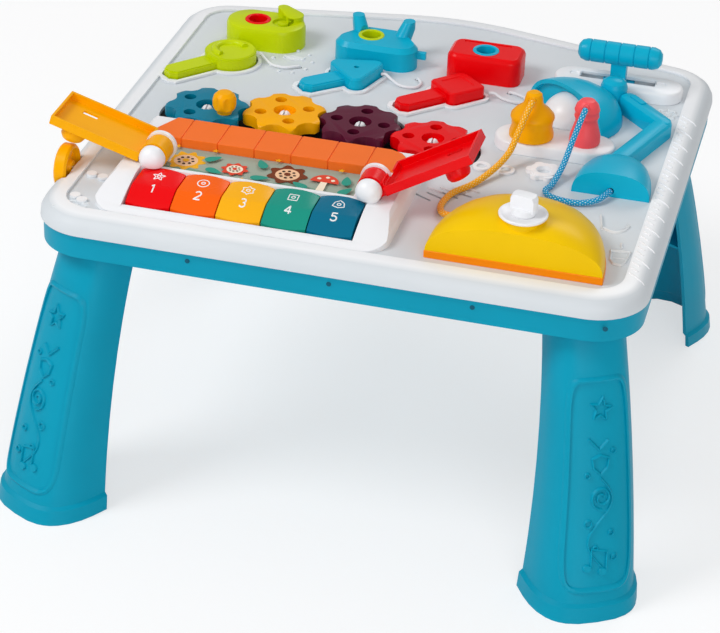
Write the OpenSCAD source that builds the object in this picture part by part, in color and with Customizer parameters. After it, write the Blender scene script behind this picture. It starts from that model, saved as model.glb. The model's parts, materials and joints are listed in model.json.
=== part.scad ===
// Activity table: a moulded deck on four hollow legs, with geared wheels, piano keys,
// hinged doors, lock blocks with toy keys, an iron, a lamp and a slider on top.
// Millimetres. X runs left to right, Y front to back, Z up, floor at Z 0.
// The hardest feature is the row of four meshing gears on split snap posts.

/* [Table] */
// Width of the white deck
deck_w = 460; // [450:2:480]
// Height of the seam between deck and base
seam_z = 224; // [190:2:260]
// Wall of the large shells
wall = 3; // [2.6:0.1:3.4]
// Radius of the deck corners
corner_r = 42; // [38:1:46]
// Height of the teal base skirt
skirt_h = 19; // [16:1:24]

/* [Legs] */
// Half chord of the foot
foot_a = 41; // [38:0.5:44]
// Outward reach of the foot
foot_b = 53; // [48:0.5:55]
// Half chord of the leg top
top_a = 29; // [26:0.5:32]
// Outward reach of the leg top
top_b = 35; // [32:0.5:37]
// Depth of the recessed leg panel
panel_d = 1.4; // [0.8:0.1:2]

/* [Gears] */
// Distance between neighbouring gear axes
gear_pitch = 62; // [61.6:0.1:62.6]
// Number of teeth on every gear
gear_n = 8; // [8:1:8]
// Tip radius of the teeth
gear_tip = 33.6; // [33.2:0.1:33.8]
// Root radius of the teeth
gear_root = 27.2; // [26.8:0.1:27.4]
// Thickness of the gears
gear_t = 9.8; // [8:0.2:11]
// Radius of the snap posts
post_r = 4; // [3.5:0.1:4.5]
// Running clearance of pins in their bores
run = 0.05; // [0.03:0.01:0.08]

/* [Piano] */
// Spacing of the keys
key_pitch = 34.8; // [34.4:0.1:35.2]
// Gap between two keys
key_gap = 1; // [0.8:0.1:1.4]
// Radius of the steel rod the keys turn on
rod_r = 1.5; // [1.3:0.1:1.7]
// Wall of a hollow key
key_wall = 2; // [1.6:0.1:2.4]
// Height of the piano block over the deck
block_h = 14; // [13.5:0.1:14.5]

/* [Doors] */
// Depth of a door leaf from front to back
leaf_d = 45.4; // [44:0.2:45.4]
// Reach of a door leaf from its hinge line
leaf_l = 83.4; // [78:0.2:83.4]
// Opening angle of the yellow door
open_left = 163.5; // [120:0.5:164]
// Opening angle of the red door
open_right = 149.3; // [120:0.5:164]
// Radius of the hinge pins
pin_r = 2; // [1.6:0.1:2.2]

/* [Play pieces] */
// Height of the lock blocks
lock_h = 20; // [17:0.5:23]
// Radius of the wheel in the table edge
wheel_r = 18; // [16:0.5:18.5]
// Half travel of the slider
slide_half = 24; // [18:1:25]
// Radius of the slider grip
grip_r = 9.3; // [8:0.1:10]
// Height of the iron body at the dial
iron_h = 36; // [32:1:40]
// Height of the lamp head
lamp_h = 30; // [26:1:34]

/* [Cords] */
// Diameter of the cord of the iron
cord_d = 5; // [4:0.1:5.6]
// Diameter of the cord of the lamp
lamp_cord_d = 4.6; // [4:0.1:5.2]
// Diameter of the white tethers
tether_d = 2.4; // [2:0.1:3]

/* [Hidden] */
$fn = 64;
dz = seam_z + 12;
hw = deck_w / 2;
front_y = -200;
rear_cy = 178;
arch_y = 21;
arch_r = 235;
base_in = 2.2;
cdx = hw - corner_r;
cfy = front_y + corner_r;
arch_dist = norm([cdx, rear_cy - arch_y]);
tan_a = atan2(rear_cy - arch_y, cdx) + acos((arch_r - corner_r) / arch_dist);
eps = 0.01;

// gears
g_tilt = acos(61.2 / 62);
g_dx = gear_pitch * cos(g_tilt);
g_dy = gear_pitch * sin(g_tilt);
g_mid_y = 9;
g_mid_x = -59.5;
gear_c = [
  [g_mid_x - gear_pitch / 2 - g_dx, g_mid_y - g_dy],
  [g_mid_x - gear_pitch / 2, g_mid_y],
  [g_mid_x + gear_pitch / 2, g_mid_y],
  [g_mid_x + gear_pitch / 2 + g_dx, g_mid_y - g_dy]
];
half_tooth = 180 / gear_n;
well_r = gear_tip + 4.7;
gear_z = 0.2;
tray_z = -4.2;

// piano
n_keys = 5;
key_x0 = -163;
key_y0 = -167.5;
key_y1 = -125.5;
key_w = key_pitch - key_gap;
hinge_y = -117;
hinge_z = 0.5;
open_y0 = -168.6;
open_x0 = key_x0 - 1.5;
open_x1 = key_x0 + n_keys * key_pitch + 1.5;
pic_x0 = -160;
pic_x1 = 0;
pic_y0 = -121;
pic_y1 = -74;
pic_z = 8;
block_y1 = -40.5;
block_x0 = -187;
block_x1 = 38;

// doors
door_x = [-156, 12];
door_z = 21;
door_y0 = -122;
off_face = 9;

// edge wheel
ew_y = -119;
ew_z = 0.5;
ew_x0 = -hw - 1;
ew_x1 = -hw + 9;
ew_pin = 1.5;

// slider
sl_x = 153;
sl_y = 155;

// feet
leg_h = seam_z - skirt_h;
leg_dir = 60;

// ---------- helpers ----------
module up(z) {
  translate([0, 0, z]) children();
}

module deck2d(i) {
  rc = corner_r - i;
  ra = arch_r - i;
  cx = rc * cos(tan_a);
  cy = rc * sin(tan_a);
  ax = ra * cos(tan_a);
  ay = ra * sin(tan_a);
  polygon([
    [-cdx, front_y + i], [cdx, front_y + i],
    [hw - i, cfy], [hw - i, rear_cy],
    [cdx + cx, rear_cy + cy], [ax, arch_y + ay],
    [-ax, arch_y + ay], [-cdx - cx, rear_cy + cy],
    [-hw + i, rear_cy], [-hw + i, cfy]
  ]);
  for (sx = [-1, 1])
    for (cy2 = [cfy, rear_cy])
      translate([sx * cdx, cy2]) circle(rc);
  intersection() {
    translate([0, arch_y]) circle(ra, $fn = 180);
    translate([-ax, arch_y + ay - 5]) square([2 * ax, 40]);
  }
}

module deck_slab(i, z0, z1) {
  up(z0) linear_extrude(z1 - z0) deck2d(i);
}

// closed skin through rings of points, each ring counter-clockwise from above
module loft(rings, cap = []) {
  n = len(rings[0]);
  m = len(rings);
  pts = [for (r = rings) for (p = r) p];
  lo = [for (j = [0:m - 2]) for (i = [0:n - 1])
    [j * n + i, (j + 1) * n + i, (j + 1) * n + (i + 1) % n]];
  hi = [for (j = [0:m - 2]) for (i = [0:n - 1])
    [j * n + i, (j + 1) * n + (i + 1) % n, j * n + (i + 1) % n]];
  cap0 = len(cap) > 0 ? cap : [[for (i = [0:n - 1]) i]];
  cap1 = [for (f = cap0) [for (i = [len(f) - 1:-1:0]) (m - 1) * n + f[i]]];
  polyhedron(pts, concat(lo, hi, cap0, cap1), convexity = 8);
}

function spow(v, e) = sign(v) * pow(abs(v), e);

function quad3(p0, p1, p2, t) =
  p0 * (1 - t) * (1 - 2 * t) + 4 * p1 * t * (1 - t) + p2 * t * (2 * t - 1);

function ring_se(cx, cy, a, b, z, e, n) =
  [for (i = [0:n - 1]) [
    cx + a * spow(cos(i * 360 / n), 2 / e),
    cy + b * spow(sin(i * 360 / n), 2 / e), z]];

// pill with rounded upper edge between two centres
module pill(p, q, r, h, rr) {
  hull()
    for (c = [p, q])
      translate([c[0], c[1], 0]) {
        cylinder(r = r, h = h - rr, $fn = 32);
        cylinder(r = r - rr * 0.3, h = h - rr * 0.3, $fn = 32);
        cylinder(r = r - rr, h = h, $fn = 32);
      }
}

// turned solid from a list of [radius, height]
module turned(pts) {
  rotate_extrude($fn = 72) polygon(pts);
}

// tube along a route, round section, parallel-transported
function cr(p0, p1, p2, p3, t) = 0.5 * (2 * p1 + (p2 - p0) * t
  + (2 * p0 - 5 * p1 + 4 * p2 - p3) * t * t
  + (3 * p1 - p0 - 3 * p2 + p3) * t * t * t);
function route(p, k) = let (m = len(p)) concat(
  [for (i = [0:m - 2]) for (j = [0:k - 1])
    cr(p[max(i - 1, 0)], p[i], p[i + 1], p[min(i + 2, m - 1)], j / k)],
  [p[m - 1]]);
function unit(v) = v / norm(v);
function tangents(p) = let (m = len(p)) [for (i = [0:m - 1])
  unit(p[min(i + 1, m - 1)] - p[max(i - 1, 0)])];
function side0(t) = unit(cross(t, abs(t[2]) > 0.8 ? [1, 0, 0] : [0, 0, 1]));
function frames(t) = [for (i = 0, s = side0(t[0]); i < len(t);
  i = i + 1, s = unit(s - (s * t[min(i, len(t) - 1)]) * t[min(i, len(t) - 1)])) s];
module tube(p, k, d, n) {
  q = route(p, k);
  t = tangents(q);
  s = frames(t);
  m = len(q);
  pts = [for (i = [0:m - 1]) let (u = unit(s[i] - (s[i] * t[i]) * t[i]), v = cross(t[i], u))
    for (a = [0:n - 1]) q[i] + d / 2 * (cos(a * 360 / n) * u + sin(a * 360 / n) * v)];
  lo = [for (j = [0:m - 2]) for (i = [0:n - 1])
    [j * n + i, (j + 1) * n + i, (j + 1) * n + (i + 1) % n]];
  hi = [for (j = [0:m - 2]) for (i = [0:n - 1])
    [j * n + i, (j + 1) * n + (i + 1) % n, j * n + (i + 1) % n]];
  cap0 = [[for (i = [0:n - 1]) i]];
  cap1 = [[for (i = [0:n - 1]) m * n - 1 - i]];
  polyhedron(pts, concat(lo, hi, cap0, cap1), convexity = 6);
}

// ---------- deck and base ----------
rim = [[0, -12], [0.6, -7], [3, -2.5], [7, 0.5], [12.5, 2], [18.5, 2.5]];
screw_ry = arch_y + sqrt(arch_r * arch_r - 3600) - 22.2;
screw_xy = [[-205, -70], [-205, 60], [205, -70], [205, 60],
  [-90, -186], [90, -186], [-60, screw_ry], [60, screw_ry]];

module tri2d(rv, r) {
  // corners at 60, 180 and 300 degrees, each rounded over 120 degrees
  polygon([for (i = [0:2]) for (s = [-60:10:60])
    let (a = 60 + 120 * i) [rv * cos(a) + r * cos(a + s), rv * sin(a) + r * sin(a + s)]]);
}

module rsq2d(h, r) {
  // corners at 45, 135, 225 and 315 degrees, each rounded over 90 degrees
  polygon([for (i = [0:3]) for (s = [-45:9:45])
    let (a = 45 + 90 * i, k = (h - r) * sqrt(2))
      [k * cos(a) + r * cos(a + s), k * sin(a) + r * sin(a + s)]]);
}

module key_head(k, c, q, e) {
  translate(c) rotate(atan2(q[1] - c[1], q[0] - c[0])) {
    if (k == 0) {
      circle(21.5 + e);
    }
    if (k == 1) {
      tri2d(17, 7 + e);
    }
    if (k == 2) {
      rsq2d(17 + e, 5 + max(e, -3));
    }
  }
}

module key_shaft(c, q, e) {
  d = norm(q - c);
  hwid = 9 + e;
  translate(c) rotate(atan2(q[1] - c[1], q[0] - c[0])) polygon([
    [0, -hwid], [d - 5 + e, -hwid], [d + e, -hwid + 5], [d + e, hwid - 5],
    [d - 5 + e, hwid], [0, hwid]]);
}

kg_c = [-164, 101];
kg_q = [-204, 54];
kc_c = [-56, 102];
kc_q = [-93, 67];
kr_c = [30, 99];
kr_q = [-10, 57];

module wells2d(e) {
  key_head(0, kg_c, kg_q, e);
  key_head(1, kc_c, kc_q, e);
  key_head(2, kr_c, kr_q, e);
  key_shaft(kg_c, kg_q, e);
  key_shaft(kc_c, kc_q, e);
  key_shaft(kr_c, kr_q, e);
}

module top_shell() {
  color("white") up(dz) difference() {
    union() {
      difference() {
        hull()
          for (p = rim)
            up(max(p[1] - eps, -12)) linear_extrude(eps) deck2d(p[0], $fn = 48);
        deck_slab(19.5, 0, 5);
        deck_slab(wall, -13, -6);
        deck_slab(wall + 4, -13, -3);
      }
      // raised borders of the key wells
      up(-2) linear_extrude(4.5) wells2d(4.4);
      up(-5) linear_extrude(4) wells2d(2.5);
      // screw bosses
      for (p = screw_xy)
        translate([p[0], p[1], -26]) cylinder(r = 4, h = 23.5);
      // dimples and cups
      for (x = [76, 95])
        translate([x, -19, -0.5]) cylinder(r = 7, h = 2.5);
      translate([124, -15, -0.5]) cylinder(r = 11, h = 5);
      for (a = [0:60:300])
        translate([124 + 10 * cos(a), -15 + 10 * sin(a), -0.5]) cylinder(r = 4, h = 4.5);
      for (p = [[-203, -127], [-193.5, -129], [-196, -168], [-203, -163]])
        translate([p[0], p[1], -1]) cylinder(r = 4, h = 3.5);
      // block behind the edge wheel
      translate([ew_x1 + 1.5, ew_y - 8, -10]) cube([9, 16, 12]);
    }
    // key wells
    up(-3) linear_extrude(12) wells2d(1.6);
    // gear wells
    for (c = gear_c)
      translate([c[0], c[1], -9]) cylinder(r = well_r, h = 20);
    // piano opening
    translate([open_x0, open_y0, -9]) cube([open_x1 - open_x0, hinge_y + 5.5 - open_y0, 20]);
    translate([key_x0 - 6, hinge_y - 5, -9]) cube([n_keys * key_pitch + 12, 10.5, 20]);
    // edge wheel slot
    translate([-hw - 5, ew_y - wheel_r - 1.5, -14])
      cube([ew_x1 + 1.5 + hw + 5, 2 * wheel_r + 3, 30]);
    translate([-hw, ew_y, ew_z]) rotate([0, 90, 0]) cylinder(r = ew_pin, h = 17);
    // screw bores
    for (p = screw_xy)
      translate([p[0], p[1], -27]) cylinder(r = 1.55, h = 14.4);
    // dimple bores
    for (x = [76, 95])
      translate([x, -19, 0.5]) cylinder(r = 4, h = 5);
    translate([124, -15, 0.5]) cylinder(r = 6, h = 8);
    // speaker slits
    for (i = [0:3])
      translate([36 + 9 * i, -76 + 4 * i, -5]) rotate(-30 + 4 * i)
        translate([0, -1, 0]) cube([17, 2.2, 10]);
    // tether holes
    for (p = [tether_g[6], tether_c[7], tether_r[7]])
      translate([p[0], p[1], -9]) cylinder(r = tether_d / 2 + 1.2, h = 20);
  }
}

module leg_tongue2d(e) {
  // centred on the tongue, chord along X
  square([36 + 2 * e, 15 + 2 * e], center = true);
}

module at_leg_top(sx, sy) {
  mx = quad3(199, 193, 178, leg_h / 212);
  my = quad3(190, 165, 137, leg_h / 212);
  oy = sy > 0 ? -10 : 10;
  translate([sx * (mx + (hw - 230)), sy * (my - sy * 10), 0])
    mirror([sx < 0 ? 1 : 0, 0, 0]) mirror([0, sy < 0 ? 1 : 0, 0])
      rotate(leg_dir - 90) translate([0, 17, 0]) children();
}

module base_shell() {
  color("teal") up(dz) difference() {
    union() {
      difference() {
        union() {
          deck_slab(base_in, -12 - skirt_h, -12);
          deck_slab(wall + 0.3, -12.5, -8);
        }
        deck_slab(base_in + wall, -9 - skirt_h, 0);
      }
      // pockets for the legs
      for (sx = [-1, 1])
        for (sy = [-1, 1])
          at_leg_top(sx, sy) up(-11 - skirt_h) linear_extrude(16) leg_tongue2d(2.8);
      // screw seats
      for (p = screw_xy)
        translate([p[0], p[1], -10 - skirt_h]) cylinder(r = 6, h = skirt_h - 16);
      // board posts
      for (x = [-152, 10])
        for (y = [-160, -104])
          translate([x, y, -10 - skirt_h]) cylinder(r = 3, h = 9);
      // battery box
      translate([-62, -6, -10 - skirt_h]) cube([124, 62, 17.5]);
    }
    for (sx = [-1, 1])
      for (sy = [-1, 1])
        at_leg_top(sx, sy) up(-14 - skirt_h) linear_extrude(17) leg_tongue2d(0.3);
    for (p = screw_xy)
      translate([p[0], p[1], -13 - skirt_h]) {
        cylinder(r = 1.7, h = 12);
        cylinder(r = 3.4, h = 3);
      }
    // battery room and lid recess
    translate([-60, -4, -13 - skirt_h]) cube([120, 58, 19]);
    translate([-64, -8, -13 - skirt_h]) cube([128, 66, 3.2]);
    // edge wheel notch
    translate([-hw - 5, ew_y - wheel_r - 1.5, ew_z - wheel_r - 1.5])
      cube([ew_x1 + 1.5 + hw + 5, 2 * wheel_r + 3, 40]);
  }
}

// ---------- legs ----------
leg_th = [0, 8, 18, 30, 42, 50, 54, 58, 66, 78, 90, 102, 114, 122, 126, 130, 138, 150, 162, 172, 180];
leg_thi = [180, 165, 145, 125, 105, 90, 75, 55, 35, 15, 0];
leg_z = [0, 11, 13, 20, 26, 32, 44, 70, 96, 122, 146, 160, 166, 172, 178, 190];
function smooth(a, b, x) = let (t = min(max((x - a) / (b - a), 0), 1)) t * t * (3 - 2 * t);
function panel(th, z) = panel_d
  * smooth(50, 57, 90 - abs(th - 90) + (z < 44 ? -pow((44 - z) / 24, 2) * 12 : 0))
  * smooth(20, 27, z) * (1 - smooth(166, 173, z));
function leg_pt(z, th, inner) = let (
  t = z / 212 * 205 / leg_h,
  fl = z < 12 ? 2.6 : 0,
  w = inner ? wall + 0.4 : 0,
  a = quad3(foot_a, 0.485 * (foot_a + top_a), top_a, t) + fl - w,
  b = quad3(foot_b, 0.485 * (foot_b + top_b), top_b, t) + fl - w - (inner ? 0 : panel(th, z)),
  u = a * spow(cos(th), 2 / 2.8),
  v = b * spow(max(sin(th), 0), 2 / 2.8),
  mx = quad3(199, 193, 178, t) + hw - 230,
  my = quad3(190, 165, 137, t)
) [mx + u * sin(leg_dir) + v * cos(leg_dir), my - u * cos(leg_dir) + v * sin(leg_dir), z];
function leg_ring(z) = concat([for (th = leg_th) leg_pt(z, th, false)],
  [for (th = leg_thi) leg_pt(z, th, true)]);

// end faces of the channel: the outer run zipped to the inner one, two steps to one
leg_cap = [for (k = [0:9]) for (f = [[2 * k, 2 * k + 1, 31 - k], [2 * k + 1, 30 - k, 31 - k],
  [2 * k + 1, 2 * k + 2, 30 - k]]) f];

module leg_plate(z0, z1, zs) {
  up(z0) linear_extrude(z1 - z0) polygon([for (th = leg_th)
    let (p = leg_pt(zs, th, false), c = leg_pt(zs, 90, true))
      [p[0], p[1]] + 0.05 * ([c[0], c[1]] - [p[0], p[1]])]);
}

module leg_body() {
  loft([for (z = concat(leg_z, [leg_h])) leg_ring(z)], leg_cap);
  leg_plate(leg_h - 4.4, leg_h - 0.4, leg_h);
  leg_plate(leg_h * 0.5, leg_h * 0.5 + 2.4, leg_h * 0.5 + 3);
}

module leg(sx, sy) {
  color("teal") union() {
    translate([0, -10, 0]) mirror([sx < 0 ? 1 : 0, 0, 0]) mirror([0, sy < 0 ? 1 : 0, 0])
      leg_body();
    at_leg_top(sx, sy) up(leg_h - 1) linear_extrude(14) leg_tongue2d(0);
  }
}

module leg_front_left() {
  leg(-1, -1);
}

module leg_front_right() {
  leg(1, -1);
}

module leg_rear_left() {
  leg(-1, 1);
}

module leg_rear_right() {
  leg(1, 1);
}

module shell_screws() {
  color("silver") up(dz)
    for (p = screw_xy)
      translate([p[0], p[1], -10 - skirt_h]) {
        up(-1.1) cylinder(r = 3.1, h = 1.1);
        cylinder(r = 1.45, h = skirt_h - 3);
      }
}

module battery_door() {
  color("teal") up(dz) difference() {
    translate([-63.7, -7.7, -12 - skirt_h]) cube([127.4, 65.4, 2.1]);
    for (i = [0:5])
      translate([-20, 45 - 3 * i, -12.5 - skirt_h]) cube([40, 1.2, 1.1]);
  }
}

module batteries() {
  color("orange") up(dz)
    for (i = [0:2])
      translate([-26, 9 + 16 * i, -1.8 - skirt_h]) rotate([0, 90, 0]) {
        cylinder(r = 7.2, h = 49);
        cylinder(r = 2.6, h = 50.4);
      }
}

module battery_contacts() {
  color("silver") up(dz)
    for (i = [0:2]) {
      translate([24.7, 5 + 16 * i, -7.3 - skirt_h]) cube([0.8, 8, 10]);
      translate([-27.3, 5 + 16 * i, -7.3 - skirt_h]) cube([0.8, 8, 10]);
    }
}

module circuit_board() {
  color("green") up(dz) difference() {
    translate([-160, -164, -1 - skirt_h]) cube([178, 64, 1.6]);
    for (i = [0:n_keys - 1])
      translate([key_x0 + (i + 0.5) * key_pitch, -140, -2 - skirt_h]) cylinder(r = 1.2, h = 4);
  }
}

module key_switches() {
  color("gray") up(dz)
    for (i = [0:n_keys - 1])
      translate([key_x0 + (i + 0.5) * key_pitch, -150, 0.6 - skirt_h])
        turned([[0, 0], [6, 0], [6, 1], [4, 2.2], [3.4, 5], [0, 5]]);
}

module speaker() {
  color("dimgray") up(dz) translate([52, -71, -19.8]) difference() {
    turned([[0, 0], [12, 0], [12, 8], [24, 14], [26, 14], [26, 16.5], [0, 16.5]]);
    up(15) cylinder(r = 22, h = 4);
  }
}

// ---------- piano ----------
function cheek_z(u) = (block_h - 0.2) * (1 - pow(u, 1.7)) + 1.2;

module cheek_profile() {
  // side view, X of the sketch is Y of the table
  polygon(concat(
    [[block_y1, 0], [block_y1, block_h]],
    [for (i = [0:12]) let (u = i / 12) [-122 - 56 * u, min(cheek_z(u), block_h)]],
    [[-178, 0]]));
}

module block_plan() {
  r = 18;
  translate([block_x0 + r, -178 + r]) circle(r);
  translate([block_x1 - r, -178 + r]) circle(r);
  translate([block_x0 + 6, block_y1 - 6]) circle(6);
  translate([block_x1 - 6, block_y1 - 6]) circle(6);
  polygon([
    [block_x0 + r, -178], [block_x1 - r, -178], [block_x1, -178 + r], [block_x1, block_y1 - 6],
    [block_x1 - 6, block_y1], [block_x0 + 6, block_y1], [block_x0, block_y1 - 6], [block_x0, -178 + r]
  ]);
}

module side_profile() {
  polygon([
    [block_x0, 0], [block_x1, 0], [block_x1 - 0.4, 4], [block_x1 - 1.6, 8],
    [block_x1 - 4, 11.5], [block_x1 - 7.5, block_h + 0.4], [block_x0 + 7.5, block_h + 0.4],
    [block_x0 + 4, 11.5], [block_x0 + 1.6, 8], [block_x0 + 0.4, 4]
  ]);
}

module yz(x0, x1) {
  // sketch X to table Y, sketch Y to table Z, swept along X
  translate([x0, 0, 0]) rotate([90, 0, 90]) linear_extrude(x1 - x0) children();
}

module xz(y0, y1) {
  // sketch X to table X, sketch Y to table Z, swept along Y
  translate([0, y1, 0]) rotate([90, 0, 0]) linear_extrude(y1 - y0) children();
}

module dome_cap(r, d) {
  // dome pointing to -Y with its flat back at Y 0
  rotate([90, 0, 0]) rotate_extrude($fn = 48) polygon(concat([[0, 0]],
    [for (i = [0:10]) [r * cos(i * 9), d * sin(i * 9)]]));
}

module piano_housing() {
  color("white") up(dz) difference() {
    union() {
      difference() {
        intersection() {
          linear_extrude(block_h + 1) block_plan();
          yz(block_x0 - 1, block_x1 + 1) cheek_profile();
          xz(-180, block_y1 + 1) side_profile();
        }
        // opening for the keys
        translate([open_x0, open_y0, -1]) cube([open_x1 - open_x0, -124.9 - open_y0, 30]);
        // low lip in front of the keys
        translate([open_x0, -179, 3.4]) cube([open_x1 - open_x0, 12, 30]);
        // picture recess
        translate([pic_x0, pic_y0, pic_z]) cube([pic_x1 - pic_x0, pic_y1 - pic_y0, 30]);
        // hollow underneath
        translate([block_x0 + 4, -124.95, -1]) cube([block_x1 - block_x0 - 8, 80.5, pic_z - 2]);
        translate([block_x0 + 4, pic_y1 + 2, -1]) cube([block_x1 - block_x0 - 8, 29, block_h - 1.6]);
      }
      // bearings of the key rod
      for (i = [0:n_keys])
        translate([key_x0 + i * key_pitch - 2.5, -121, -3]) cube([5, 8, pic_z + 0.5]);
      // hinge brackets
      for (x = door_x) {
        translate([x, -124, door_z]) dome_cap(10, 8);
        translate([x, -122, door_z]) rotate([90, 0, 0]) cylinder(r = 10, h = 2.01);
        translate([x - 5, -124.9, pic_z - 2]) cube([10, 2.9, door_z - pic_z]);
        translate([x, -99.6, door_z]) rotate([90, 0, 0]) cylinder(r = 12, h = 3.4);
        translate([x - 7, -103, pic_z - 2]) cube([14, 3.4, door_z - pic_z]);
      }
    }
    // keep the domes off the keys
    translate([open_x0, -140, 0]) cube([open_x1 - open_x0, 15.1, block_h + 1.6]);
    // room for the door knuckles
    for (x = door_x)
      translate([x, -103.1, door_z]) rotate([90, 0, 0]) cylinder(r = 11.2, h = 18);
    // rod bore and pin bores
    translate([key_x0 - 6, hinge_y, hinge_z]) rotate([0, 90, 0])
      cylinder(r = rod_r, h = n_keys * key_pitch + 12);
    for (x = door_x)
      translate([x, -98, door_z]) rotate([90, 0, 0]) cylinder(r = pin_r, h = 28);
  }
}

module picture_panel() {
  color("silver") up(dz) difference() {
    translate([pic_x0 + 0.3, pic_y0 + 0.3, pic_z])
      cube([pic_x1 - pic_x0 - 0.6, pic_y1 - pic_y0 - 2.9, 1]);
    for (x = door_x)
      translate([x - 13, -104, pic_z - 1]) cube([26, 5.4, 4]);
  }
}

tile_p = 29.2;
tile_x0 = -178;
module roof_tiles() {
  color("orange") up(dz) difference() {
    union() {
      intersection() {
        translate([tile_x0, -76, block_h]) cube([7 * tile_p, 34, 2.2]);
        linear_extrude(40) polygon([[tile_x0, -76], [tile_x0 + 16, -42], [10, -42],
          [19, -46], [25, -54], [tile_x0 + 7 * tile_p, -64], [tile_x0 + 7 * tile_p, -76]]);
      }
      translate([pic_x0 + 0.3, -76, pic_z + 0.3]) cube([pic_x1 - pic_x0 - 0.6, 2, block_h - pic_z]);
    }
    for (i = [1:6])
      translate([tile_x0 + i * tile_p - 0.4, -77, 0]) {
        translate([0, 0, block_h + 1.4]) cube([0.8, 40, 2]);
        cube([0.8, 1.8, 40]);
      }
  }
}

module key_rod() {
  color("silver") up(dz) translate([key_x0 - 5, hinge_y, hinge_z]) rotate([0, 90, 0])
    cylinder(r = rod_r, h = n_keys * key_pitch + 10);
}

module steel_pins() {
  color("silver") up(dz) {
    for (x = door_x)
      translate([x, -99.6, door_z]) rotate([90, 0, 0]) cylinder(r = pin_r, h = 26);
    // axle of the wheel in the table edge
    translate([ew_x0 - 0.6, ew_y, ew_z]) rotate([0, 90, 0]) {
      cylinder(r = 3.4, h = 1.2);
      cylinder(r = ew_pin, h = 18);
    }
  }
}

module key_block(w, y0, y1, zt, rt, rc) {
  // pillow of a key: rounded nose, crowned across
  intersection() {
    translate([-w / 2, y0, -2]) cube([w, y1 - y0, 30]);
    translate([-w, y1 - 4.5, zt - rt]) rotate([0, 90, 0]) cylinder(r = rt, h = 2 * w, $fn = 200);
    translate([0, y1 + 1, zt - rc]) rotate([90, 0, 0]) cylinder(r = rc, h = 80, $fn = 200);
    translate([0, y0 + 90, -5]) cylinder(r = 90, h = 40, $fn = 220);
  }
}

module piano_key(i) {
  kc = key_x0 + (i + 0.5) * key_pitch;
  up(dz) translate([kc, 0, 0]) difference() {
    union() {
      difference() {
        key_block(key_w, key_y0, key_y1, 15, 66.9, 50);
        key_block(key_w - 2 * key_wall, key_y0 + key_wall, key_y1 - key_wall, 15 - key_wall,
          66.9 - key_wall, 50 - key_wall);
        translate([-key_w / 2 + key_wall, key_y0 + 6, -3])
          cube([key_w - 2 * key_wall, key_y1 - key_y0 - 8, 6]);
      }
      for (s = [-1, 1])
        translate([s * 10 - 2.5, key_y1 - 3, -2]) cube([5, hinge_y - key_y1 + 3, 5.8]);
      for (s = [-1, 1])
        translate([s * 10 - 2.5, hinge_y, hinge_z]) rotate([0, 90, 0]) cylinder(r = 3.4, h = 5);
      translate([0, -150, -10]) cylinder(r = 3, h = 20.8);
    }
    translate([-20, hinge_y, hinge_z]) rotate([0, 90, 0]) cylinder(r = rod_r + run, h = 40);
  }
}

module piano_key_1() {
  color("red") piano_key(0);
}

module piano_key_2() {
  color("orangered") piano_key(1);
}

module piano_key_3() {
  color("orange") piano_key(2);
}

module piano_key_4() {
  color("seagreen") piano_key(3);
}

module piano_key_5() {
  color("teal") piano_key(4);
}

// ---------- doors ----------
module door(side) {
  // drawn closed, hinge line along Y at the origin, leaf towards +X
  t = 2;
  difference() {
    union() {
      difference() {
        translate([10.4, door_y0, off_face - 7.4]) cube([leaf_l - 10.4, leaf_d, 7.4]);
        translate([12.4, door_y0 + 2, off_face - 9.4]) cube([leaf_l - 14.4, leaf_d - 4, 7.4]);
      }
      translate([0, door_y0 + 19, 0]) rotate([90, 0, 0]) cylinder(r = 10.4, h = 16.6);
      translate([0, door_y0 + 2.4, -1.5]) cube([11.5, 16.6, off_face + 1.5]);
      // knob on the outer face
      translate([leaf_l - 18, door_y0 + 11, off_face - 1])
        turned([[0, 0], [7.5, 0], [9, 2], [9.5, 8], [8.2, 10.6], [0, 11]]);
    }
    translate([0, door_y0 + 30, 0]) rotate([90, 0, 0]) cylinder(r = pin_r + run, h = 40);
    // clearance round the rear bracket
    translate([0, door_y0 + 30, 0]) rotate([90, 0, 0]) cylinder(r = 12.6, h = 11.4);
    // hasp slot
    translate([leaf_l - 28, door_y0 + 30, off_face - 4]) cube([12, 5, 6]);
  }
}

module door_left() {
  color("gold") up(dz) translate([door_x[0], 0, door_z]) rotate([0, -open_left, 0]) door(0);
}

module door_right() {
  color("red") up(dz) translate([door_x[1], 0, door_z]) mirror([1, 0, 0])
    rotate([0, -open_right, 0]) door(1);
}

// ---------- edge wheel ----------
module edge_wheel() {
  color("gold") up(dz) translate([ew_x0, ew_y, ew_z]) rotate([0, 90, 0]) difference() {
    rotate_extrude($fn = 96) polygon([
      [ew_pin + run, 0.8], [5, 0.8], [6, 2.4], [13, 2.4], [15, 0], [wheel_r - 1.6, 0],
      [wheel_r, 1.6], [wheel_r, 8.4], [wheel_r - 1.6, 10], [15, 10], [13, 7], [6, 7], [5, 10],
      [ew_pin + run, 10]]);
    for (a = [0:45:315])
      rotate(a) translate([9.5, 0, -1]) cylinder(r = 1.6, h = 14);
  }
}

// ---------- gears ----------
module gear_tray() {
  color("black") up(dz) difference() {
    union() {
      for (c = gear_c)
        translate([c[0], c[1], tray_z - 1.6]) cylinder(r = well_r + 3, h = -3 - tray_z + 1.6);
    }
    for (c = gear_c)
      translate([c[0], c[1], tray_z]) cylinder(r = well_r + 0.6, h = 10);
    for (c = gear_c)
      translate([c[0], c[1], tray_z - 3]) cylinder(r = 2, h = 10);
  }
}

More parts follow.
